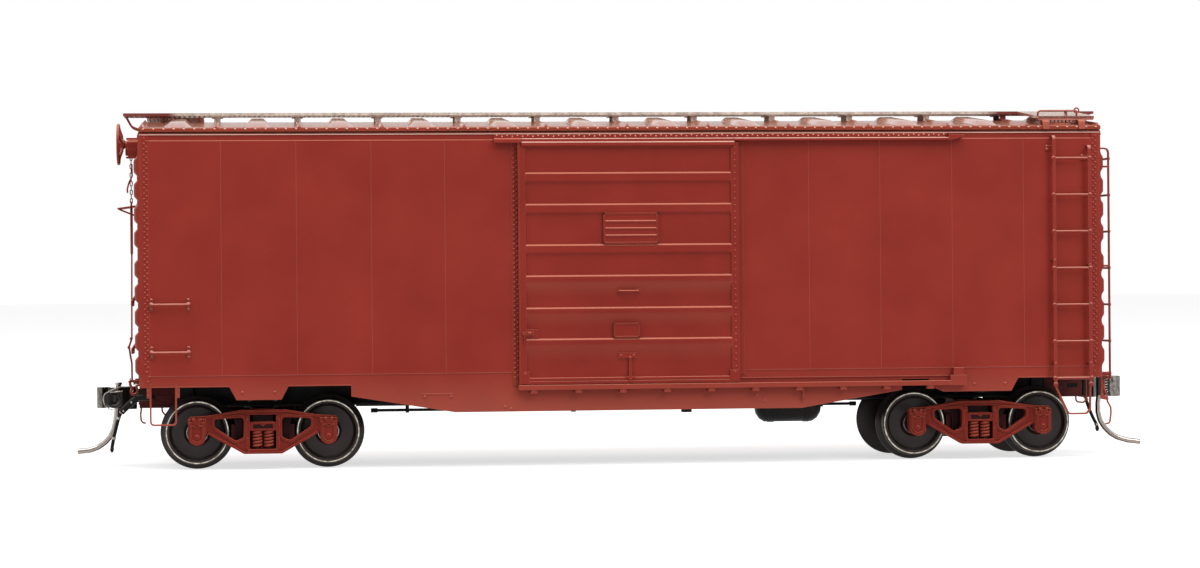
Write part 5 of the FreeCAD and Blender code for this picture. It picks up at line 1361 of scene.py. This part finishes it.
def draft_boxes():
    """Pocket plates with slots, the lift hooks and the coupler pockets."""
    box = Form()
    low, high = 8.98, 12.3
    for way in (-1, 1):
        plate = [(HALF - 5.5, low), (HALF + 0.45, low), (HALF + 0.45, high), (HALF - 5.5, high)]
        slot = rounded([(HALF - 1.9, 10.35), (HALF - 0.3, 10.35), (HALF - 0.3, 11.0), (HALF - 1.9, 11.0)],
                       0.15)
        box.plate([plate, slot], "y", *sorted((way * 3.1, way * 3.36)), 0.03)
        for z in (low, high - 0.25):
            box.box((HALF - 5.5, HALF + 0.45), sorted((way * 3.3, way * 3.5)), (z, z + 0.25))
        box.box((HALF - 5.2, HALF - 2.2), sorted((way * 3.3, way * 3.46)), (10.55, 10.75))
        box.row([(HALF + 0.2, way * 3.36, z) for z in (9.6, 11.7)], (0, way, 0), 0.16)
    piece("draft_box_webs", box.both(), "draft", bevel=0.02)
    loop = [(-0.5, 9.1), (-0.46, 8.38), (-0.24, 8.1), (0.67, 8.0), (1.12, 8.36), (1.14, 11.9)]
    hook = Form().tube(rounded([(HALF + out, -3.3, z) for out, z in loop], 0.2, closed=False), 0.13)
    hook.tube([(HALF + 0.6, -3.3, 9.0), (HALF + 1.12, -3.3, 8.4), (HALF + 1.5, -3.3, 8.5)], 0.09)
    piece("lift_hooks", hook, "truck", angle=50)
    for end in ("a", "b"):
        softened(f"coupler_pocket_{end}", "black", "car_body", 0.08)


# ---------------------------------------------------------------- couplers

COUPLER_FACE = HALF + 7.0
HEAD_LOW, HEAD_HIGH = span("coupler_a", "z")
HEAD = [(5.9, -1.1), (4.9, -1.3), (4.2, -1.1), (3.4, 0.2), (3.1, 1.3), (2.1, 1.9), (1.3, 3.1),
        (1.9, 3.4), (3.6, 2.6), (4.9, 1.3), (5.9, 1.1)]
JAW = [(2.0, -2.6), (0.9, -2.55), (0.0, -1.7), (0.1, -0.4), (0.8, 0.2), (1.3, -0.2), (1.2, -1.0),
       (1.7, -1.35), (2.0, -1.35)]
JAW_ROOT = [(3.8, -2.7), (1.95, -2.6), (1.95, -1.35), (3.5, -1.35), (3.9, -1.9)]
PIN = (COUPLER_FACE - 3.2, -2.0)
TRIP_SWEEP = {
    "a": [(75.0, 8.95), (74.85, 7.8), (74.85, 6.4), (75.2, 5.1), (75.85, 4.1), (76.8, 3.15), (77.95, 2.48),
          (79.6, 2.02), (81.46, 1.8)],
    "b": [(75.5, 8.95), (75.6, 8.0), (75.75, 6.8), (76.05, 5.6), (76.5, 4.6), (77.35, 3.65), (78.4, 2.95),
          (79.6, 2.52), (81.46, 2.35)],
}


def couplers():
    """Heads, knuckles, trip pins and the coupler springs at both ends."""
    def seen_from_above(outline):
        """Outline given back from the coupler's face, as places in the frame."""
        return [(COUPLER_FACE - back, across) for back, across in outline]

    head, jaw_face, jaw_root, pins, spring = (Form() for number in range(5))
    pivot = HALF - 5.0
    core = rounded(seen_from_above(HEAD), 0.35)
    head.prism(core, "z", HEAD_LOW + 0.15, HEAD_HIGH - 0.15)
    shrunk = offset_line(core, 0.12, closed=True)
    if abs(shrunk[0].x) > abs(Vector(core[0]).x):
        shrunk = offset_line(core, -0.12, closed=True)
    head.rings([[(x, y, z) for x, y in shrunk] for z in (HEAD_LOW, HEAD_HIGH)])
    middle = (HEAD_LOW + HEAD_HIGH) / 2
    for point in head.points:
        thinned = 0.6 * min(1.0, max(0.0, (point.x - COUPLER_FACE + 3.3) / 2.0))
        point.z = middle + (1.0 - thinned) * (point.z - middle)
    head.box((pivot + 1.0, COUPLER_FACE - 5.0), (-1.1, 1.1), (9.75, 11.1))
    head.box((pivot + 3.0, COUPLER_FACE - 5.2), (-0.8, 0.8), (11.05, 11.35))
    head.turn([(9.75, 0.98), (9.75, 1.98), (11.1, 1.98), (11.1, 0.98)], (pivot, 0, 0), "z", 24, closed=True)
    guard = [(2.2, 1.45), (3.1, 1.45), (3.35, 1.25), (3.35, 1.0), (2.95, 0.85), (2.95, 0.5), (3.2, 0.4),
             (3.2, 0.1)]
    head.turn(guard, (COUPLER_FACE - 2.75, 0, 10.4), "y", 28)
    low, high = span("knuckle_a", "z")
    jaw_face.prism(rounded(seen_from_above(JAW), 0.25), "z", low, high)
    jaw_root.prism(rounded(seen_from_above(JAW_ROOT), 0.2), "z", low + 0.1, high - 0.1)
    pins.turn([(HEAD_HIGH - 0.2, 0.4), (HEAD_HIGH + 0.2, 0.42), (HEAD_HIGH + 0.24, 0.55),
               (HEAD_HIGH + 0.5, 0.55), (HEAD_HIGH + 0.56, 0.45), (HEAD_HIGH + 0.54, 0.1)],
              (PIN[0], PIN[1], 0), "z", 24)
    coil = [(COUPLER_FACE - 5.3 + 0.26 * math.cos(math.pi * i / 5), -0.3 + 2.3 * i / 60,
             11.55 + 0.26 * math.sin(math.pi * i / 5)) for i in range(61)]
    spring.tube(coil, 0.07, 6)
    # Thin bright metal wires along the edge of the head's guard arm, as a painted highlight on that edge.
    rim_edge = [(4.05, 11.5), (1.6, 11.3), (1.2, 10.8), (1.15, 10.3), (1.35, 9.5), (2.05, 8.85),
                (2.85, 8.7)]
    glint_wire = Form().tube(rounded([(COUPLER_FACE - back, 3.36, z) for back, z in rim_edge], 0.5,
                                   closed=False), 0.065)
    glint_wire.tube([(COUPLER_FACE - 1.3, 3.3, 11.05), (COUPLER_FACE - 3.1, 3.2, HEAD_HIGH - 0.06)], 0.055)
    jaw_coil = []
    for i in range(61):
        angle = 2 * math.pi * i / 12
        jaw_coil.append((PIN[0] + 0.5 + 0.4 * math.cos(angle), PIN[1] - 0.72 + 0.4 * math.sin(angle),
                         9.6 + 2.0 * i / 60))
    jaw_spring = Form().tube(jaw_coil, 0.09, 6)
    for end, shape in ENDS:
        body, jaw = f"coupler_{end}", f"knuckle_{end}"
        piece(f"coupler_{end}_head", shape(head), "coupler", body, nodes=[body], bevel=0.08, angle=45)
        piece(f"coupler_{end}_spring", shape(spring), "steel", body)
        piece(f"coupler_{end}_guard_glint_wire", shape(glint_wire), "rim", body)
        piece(f"knuckle_{end}_spring", shape(jaw_spring), "rim", jaw)
        piece(f"knuckle_{end}_jaw", shape(jaw_face), "jaw", jaw, nodes=[jaw], bevel=0.1, angle=45)
        piece(f"knuckle_{end}_root", shape(jaw_root), "coupler", jaw, nodes=[jaw], bevel=0.1, angle=45)
        piece(f"knuckle_{end}_pin_head", shape(pins), "steel", jaw)
        trip = Form().tube(rounded([(x, PIN[1], z) for x, z in TRIP_SWEEP[end]], 2.0, closed=False,
                                   steps=6), 0.41, 20)
        piece(f"trip_pin_{end}_wire", shape(trip), "steel", jaw, nodes=[f"trip_pin_{end}"])


# ---------------------------------------------------------------- trucks

FRAME_BACK, FRAME_FACE = 11.1, 12.5
BOX_FACE = -span("truck_a_side_frames", "y")[0]
FRAME_MIDDLE = (FRAME_BACK + FRAME_FACE) / 2
SPRING_LOW, SPRING_HIGH = span("truck_a_springs", "z")
SPRING_APART = 0.86


def mirror_x(outline):
    """Outline's mirror image across the truck's middle."""
    return [(-x, z) for x, z in outline]


def rim(form, outline, width, low, high):
    """Raised lip round a hole, on whichever side of the outline is outside."""
    def area(line):
        return abs(sum(a.cross(b) for a, b in zip(line, line[1:] + line[:1])))

    outline = [Vector(point).to_2d() for point in outline]
    wide = max((offset_line(outline, way * width, closed=True) for way in (1, -1)), key=area)
    form.plate([wide, outline], "y", low, high, 0.05)


def side_frame():
    """One side frame on the right, about the truck's own middle."""
    form = Form()
    half = [(3.2, 8.85), (6.0, 8.35), (AXLE - 1.2, 8.0), (AXLE + 1.0, 7.9), (AXLE + 1.25, 7.6),
            (AXLE + 1.25, 5.2), (AXLE + 0.7, 4.4), (AXLE - 0.7, 4.4), (AXLE - 1.3, 5.35),
            (AXLE - 1.6, 5.35), (2.8, SPRING_LOW - 0.7)]
    edge = rounded(half + mirror_x(half)[::-1], 0.5)
    middle = rounded([(-2.05, SPRING_LOW), (2.05, SPRING_LOW), (2.05, 8.1), (-2.05, 8.1)], 0.4)
    window = rounded([(2.78, 7.75), (2.85, 4.75), (4.0, 4.25), (7.0, 6.3), (7.15, 7.5)], 0.6)
    form.plate([edge, middle, window, mirror_x(window)], "y", -FRAME_FACE, -FRAME_BACK, 0.12)
    face = -FRAME_FACE
    for outline in (window, mirror_x(window)):
        rim(form, outline, 0.38, face - 0.2, face + 0.1)
    lower = [(2.8, SPRING_LOW - 0.7), (AXLE - 1.6, 5.3)]
    path = rounded(mirror_x(lower)[::-1] + lower, 0.6, closed=False)
    form.prism(band(offset_line(path, 0.16), 0.3), "y", face - 0.22, face + 0.1)
    upper = [(AXLE - 1.2, 7.95), (6.0, 8.3), (3.2, 8.78)]
    path = rounded(upper + mirror_x(upper)[::-1], 0.6, closed=False)
    form.prism(band(offset_line(path, 0.14), 0.28), "y", face - 0.2, face + 0.1)
    # Spring seat and column faces beside the bolster
    form.box((-2.2, 2.2), (face - 0.3, -FRAME_BACK), (SPRING_LOW - 0.5, SPRING_LOW))
    for way in (-1, 1):
        form.box(sorted((way * 1.92, way * 2.45)), (face - 0.15, -FRAME_BACK), (SPRING_LOW, 7.9))
        form.row([(way * 2.28, face - 0.15, z) for z in (7.45, 4.7)], OUT, 0.14)
    return form


def journal_box():
    """Box on an axle's end, about the axle's line, on the right."""
    form = Form()
    low, high = 3.7 - AXLE_HEIGHT, 7.6 - AXLE_HEIGHT

    def shield(half, top, drop):
        return [(half, top), (-half, top)] + arc((0, low + drop + half), half, 180, 360, 10)

    form.plate([shield(1.3, high, 0.0)], "y", -BOX_FACE + 0.45, -FRAME_BACK, 0.15)
    form.plate([shield(1.12, high - 0.5, 0.15)], "y", -BOX_FACE + 0.2, 0.6 - BOX_FACE, 0.1)
    rim(form, shield(0.72, high - 1.15, 0.5), 0.2, -BOX_FACE + 0.02, 0.3 - BOX_FACE)
    form.dome((0, 0.2 - BOX_FACE, low + 1.25), OUT, 0.3, 0.14, 12)
    lip = arc((0, low + 1.3), 1.2, 195, 345, 10)
    form.prism(band(lip, 0.2), "y", -BOX_FACE + 0.1, 0.6 - BOX_FACE)
    for x in (-0.48, 0.48):
        form.turn([(x - 0.2, 0.12), (x - 0.2, 0.34), (x + 0.2, 0.34), (x + 0.2, 0.12)],
                  (0, 0.36 - BOX_FACE, high - 0.2), "x", 14)
    form.prism(rounded([(-0.42, high - 0.2), (-0.3, high - 1.25), (0.3, high - 1.25), (0.42, high - 0.2)],
                       0.12),
               "y", 0.02 - BOX_FACE, 0.4 - BOX_FACE)
    for x in (-1.08, 1.08):
        form.box((x - 0.16, x + 0.16), (0.25 - BOX_FACE, 0.7 - BOX_FACE), (high - 0.75, high - 0.1))
    return form.shifted(z=AXLE_HEIGHT)


def truck_springs():
    """Two coils between the frame's seat and the bolster's end, on the right."""
    form, points = Form(), []
    count = 14 * round((SPRING_HIGH - SPRING_LOW) / 0.5)
    for i in range(count + 1):
        angle = 2 * math.pi * i / 14
        points.append((0.63 * math.cos(angle), 0.63 * math.sin(angle),
                       SPRING_LOW + 0.15 + (SPRING_HIGH - SPRING_LOW - 0.3) * i / count))
    for x in (-SPRING_APART, SPRING_APART):
        form.join(Form().tube(points, 0.19, 8).shifted(x, -FRAME_MIDDLE))
    return form


def truck_backs():
    """Wall behind the springs and the brake hangers beside it, on the right, painted dark as the shade
    inside the truck.
    """
    form = Form()
    form.box((-2.3, 2.3), (-FRAME_BACK - 0.1, 0.3 - FRAME_BACK), (SPRING_LOW - 0.4, SPRING_HIGH - 0.05))
    form.box((-2.3, 2.3), (-FRAME_BACK - 0.1, 0.3 - FRAME_BACK), (7.1, 8.3))
    for way in (-1, 1):
        form.turn([(SPRING_LOW, 0.1), (SPRING_LOW, 0.56), (SPRING_HIGH, 0.56), (SPRING_HIGH, 0.1)],
                  (way * SPRING_APART, -FRAME_MIDDLE, 0), "z", 16)
        form.box(sorted((way * 1.5, way * 2.4)), (-FRAME_BACK - 0.1, 0.3 - FRAME_BACK), (SPRING_LOW, 8.2))
        hanger = [(way * x, z) for x, z in ((2.3, 4.3), (3.85, 4.3), (3.9, 6.2), (4.3, 7.6), (4.4, 8.2),
                                            (2.3, 8.2))]
        form.prism(hanger, "y", 0.6 - FRAME_BACK, 0.85 - FRAME_BACK)
        form.box(sorted((way * 3.0, way * 3.5)), (0.35 - FRAME_BACK, 0.6 - FRAME_BACK), (4.5, 8.0))
    return form


def bolster_end():
    """Open box end of the bolster, on the right, and a dark plate in its opening as painted shade."""
    form = Form()
    low, high, face = SPRING_HIGH, 7.0, span("truck_a_bolster", "y")[0]
    outline = [(-1.88, low), (1.88, low), (1.88, high), (-1.88, high)]
    inner = [(-1.45, low + 0.3), (1.45, low + 0.3), (1.45, high - 0.28), (0.45, high - 0.28),
             (0, high - 0.62), (-0.45, high - 0.28), (-1.45, high - 0.28)]
    form.plate([rounded(outline, 0.15), rounded(inner, 0.1)], "y", face - 0.28, face + 0.05, 0.05)
    dark = Form().prism(rounded(inner, 0.1), "y", face - 0.06, face + 0.05)
    return form, dark


def wheel(way):
    """Wheel on the side given by way: closed section turned about the axle."""
    profile = [(7.25, 1.06), (7.25, 5.2), (7.33, 5.38), (7.5, 5.45), (7.7, 5.38), (7.9, 5.05), (8.1, 4.86),
               (8.6, 4.83), (9.9, 4.78), (10.02, 4.68), (10.04, 4.55), (10.04, 4.15), (9.98, 4.05),
               (9.5, 3.95), (9.3, 3.7), (9.15, 2.6), (9.3, 2.0), (9.7, 1.72), (9.85, 1.6), (9.85, 1.06)]
    return Form().turn([(way * along, radius) for along, radius in profile], (0, 0, AXLE_HEIGHT), "y", 72,
                       closed=True)


def wheelset():
    """Both wheels, the worn bright edges on their faces, and the axle."""
    wheels, rims, axle = Form(), Form(), Form()
    for way in (-1, 1):
        wheels.join(wheel(way))
        for section, around in ((((10.0, 4.42), (10.07, 4.44), (10.07, 4.6), (10.0, 4.64)), 72),
                                (((9.8, 1.5), (9.88, 1.5), (9.88, 1.58), (9.8, 1.6)), 40)):
            rims.turn([(way * along, radius) for along, radius in section], (0, 0, AXLE_HEIGHT), "y",
                      around, closed=True)
    reach = span("wheelset_a1_axle", "y")[1]
    shape = [(10.34, 0.5), (10.3, 0.95), (10.1, 1.08), (6.9, 1.08), (5.5, 0.95), (2.0, 0.8)]
    profile = [(reach, 0.2), (reach - 0.15, 0.44), (10.36, 0.45)] + shape
    profile += [(-along, radius) for along, radius in reversed(profile)]
    axle.turn(profile, (0, 0, AXLE_HEIGHT), "y", 28)
    return wheels, rims, axle


def trucks():
    """Both trucks with their wheelsets, each piece on the body that it moves with."""
    frames, springs, (bolster, dark) = side_frame(), truck_springs(), bolster_end()
    backs = truck_backs().join(dark).both()
    for x in (-AXLE, AXLE):
        frames.join(journal_box().shifted(x))
    frames, bolster, springs = frames.both(), bolster.both(), springs.both()
    wheels, rims, axle = wheelset()
    for truck, way in (("a", 1), ("b", -1)):
        x, body = way * TRUCK, f"truck_{truck}"
        piece(f"{body}_cast_frames", frames.shifted(x), "truck", body, nodes=[f"{body}_side_frames"],
              bevel=0.05)
        softened(f"{body}_bolster", "truck", body, 0.1)
        softened(f"{body}_brake_beams", "draft", body, 0.08)
        piece(f"{body}_bolster_ends", bolster.shifted(x), "truck", body)
        piece(f"{body}_backs", backs.shifted(x), "truck_shade", body)
        piece(f"{body}_coils", springs.shifted(x), "truck", body, nodes=[f"{body}_springs"], angle=60)
        for number, shift in ((1, way * AXLE), (2, -way * AXLE)):
            name = f"wheelset_{truck}{number}"
            piece(f"{name}_tires", wheels.shifted(x + shift), "wheel", name, nodes=[f"{name}_wheels"],
                  angle=25)
            piece(f"{name}_bright_rims", rims.shifted(x + shift), "rim", name)
            piece(f"{name}_shaft", axle.shifted(x + shift), "axle", name, nodes=[f"{name}_axle"])


# ---------------------------------------------------------------- stage, light and camera

def seen_or_mirrored(tree):
    """One where the camera or a reflection meets the surroundings, nought for their light."""
    path = tree.nodes.new("ShaderNodeLightPath")
    seen = tree.nodes.new("ShaderNodeMath")
    seen.operation = "MAXIMUM"
    tree.links.new(path.outputs["Is Camera Ray"], seen.inputs[0])
    tree.links.new(path.outputs["Is Glossy Ray"], seen.inputs[1])
    return seen.outputs[0]


FLOOR_REACH, FLOOR_GLOW, ROOM_LIGHT = 6.0, 0.66, 0.32


def stage():
    """White floor and surroundings, which look plain white but keep the car's soft shadow."""
    floor = bpy.data.meshes.new("ground")
    corners = [(across * FLOOR_REACH, up * FLOOR_REACH, 0)
               for across, up in ((-1, -1), (1, -1), (1, 1), (-1, 1))]
    floor.from_pydata(corners, [], [(0, 1, 2, 3)])
    item = bpy.data.objects.new("ground", floor)
    bpy.context.scene.collection.objects.link(item)
    material = bpy.data.materials.new("white_ground")
    material.use_nodes = True
    tree = material.node_tree
    shader = tree.nodes["Principled BSDF"]
    shader.inputs["Base Color"].default_value = (0.8, 0.8, 0.8, 1)
    shader.inputs["Roughness"].default_value = 0.9
    shader.inputs["Specular IOR Level"].default_value = 0.1
    shader.inputs["Emission Color"].default_value = (1, 1, 1, 1)
    glow = tree.nodes.new("ShaderNodeMath")
    glow.operation = "MULTIPLY"
    glow.inputs[1].default_value = FLOOR_GLOW
    tree.links.new(seen_or_mirrored(tree), glow.inputs[0])
    tree.links.new(glow.outputs[0], shader.inputs["Emission Strength"])
    floor.materials.append(material)

    world = bpy.data.worlds.new("white_room")
    bpy.context.scene.world = world
    world.use_nodes = True
    tree = world.node_tree
    tree.nodes.clear()
    room, backdrop = tree.nodes.new("ShaderNodeBackground"), tree.nodes.new("ShaderNodeBackground")
    room.inputs["Color"].default_value = (1, 1, 1, 1)
    room.inputs["Strength"].default_value = ROOM_LIGHT
    backdrop.inputs["Color"].default_value = (1, 1, 1, 1)
    mix, out = tree.nodes.new("ShaderNodeMixShader"), tree.nodes.new("ShaderNodeOutputWorld")
    tree.links.new(seen_or_mirrored(tree), mix.inputs[0])
    tree.links.new(room.outputs[0], mix.inputs[1])
    tree.links.new(backdrop.outputs[0], mix.inputs[2])
    tree.links.new(mix.outputs[0], out.inputs["Surface"])


def lamp(name, location, target, size, power):
    """Soft rectangular light aimed at a point, in metres."""
    light = bpy.data.lights.new(name, "AREA")
    light.shape, light.size, light.size_y = "RECTANGLE", size[0], size[1]
    light.energy = power
    item = bpy.data.objects.new(name, light)
    item.location = location
    item.rotation_mode = "QUATERNION"
    item.rotation_quaternion = (Vector(target) - Vector(location)).to_track_quat("-Z", "Y")
    bpy.context.scene.collection.objects.link(item)


CAMERA_PLACE = (-55.497, -473.67, 26.462)
CAMERA_YAW, CAMERA_PITCH, CAMERA_ROLL = 6.4027, -0.0518, 0.4835
CAMERA_LENS, SENSOR = 93.62, 36.0


def camera():
    """Camera placed and aimed as the photo's, in the frame."""
    data = bpy.data.cameras.new("camera")
    data.lens, data.sensor_width, data.sensor_fit = CAMERA_LENS, SENSOR, "HORIZONTAL"
    data.clip_start, data.clip_end = 0.01, 20.0
    yaw, pitch, roll = (math.radians(angle) for angle in (CAMERA_YAW, CAMERA_PITCH, CAMERA_ROLL))
    ahead = Vector((math.sin(yaw) * math.cos(pitch), math.cos(yaw) * math.cos(pitch), -math.sin(pitch)))
    level = Vector((math.cos(yaw), -math.sin(yaw), 0))
    below = ahead.cross(level)
    right = math.cos(roll) * level + math.sin(roll) * below
    down = math.cos(roll) * below - math.sin(roll) * level
    turn = Matrix((right, -down, -ahead)).transposed()
    item = bpy.data.objects.new("camera", data)
    item.matrix_world = Matrix.Translation(Vector(CAMERA_PLACE) * MM) @ turn.to_4x4()
    bpy.context.scene.collection.objects.link(item)
    bpy.context.scene.camera = item


make_sides()
make_ends()
make_roof()
running_board()
lateral_walks()
corner_irons()
walk_supports()
make_doors()
ladders()
grab_irons()
sill_steps()
brake_wheel()
brake_housing()
brake_rod()
brake_step()
underframe()
air_hoses()
uncoupling_levers()
draft_boxes()
couplers()
trucks()
stage()
lamp("overhead_box", (-0.15, -0.42, 0.9), (0, 0, 0.02), (0.9, 0.6), 5.6)
lamp("key_box", (0.45, -0.75, 0.6), (0, 0, 0.03), (0.35, 0.35), 3.0)
camera()
bpy.context.scene.view_settings.view_transform = "Standard"
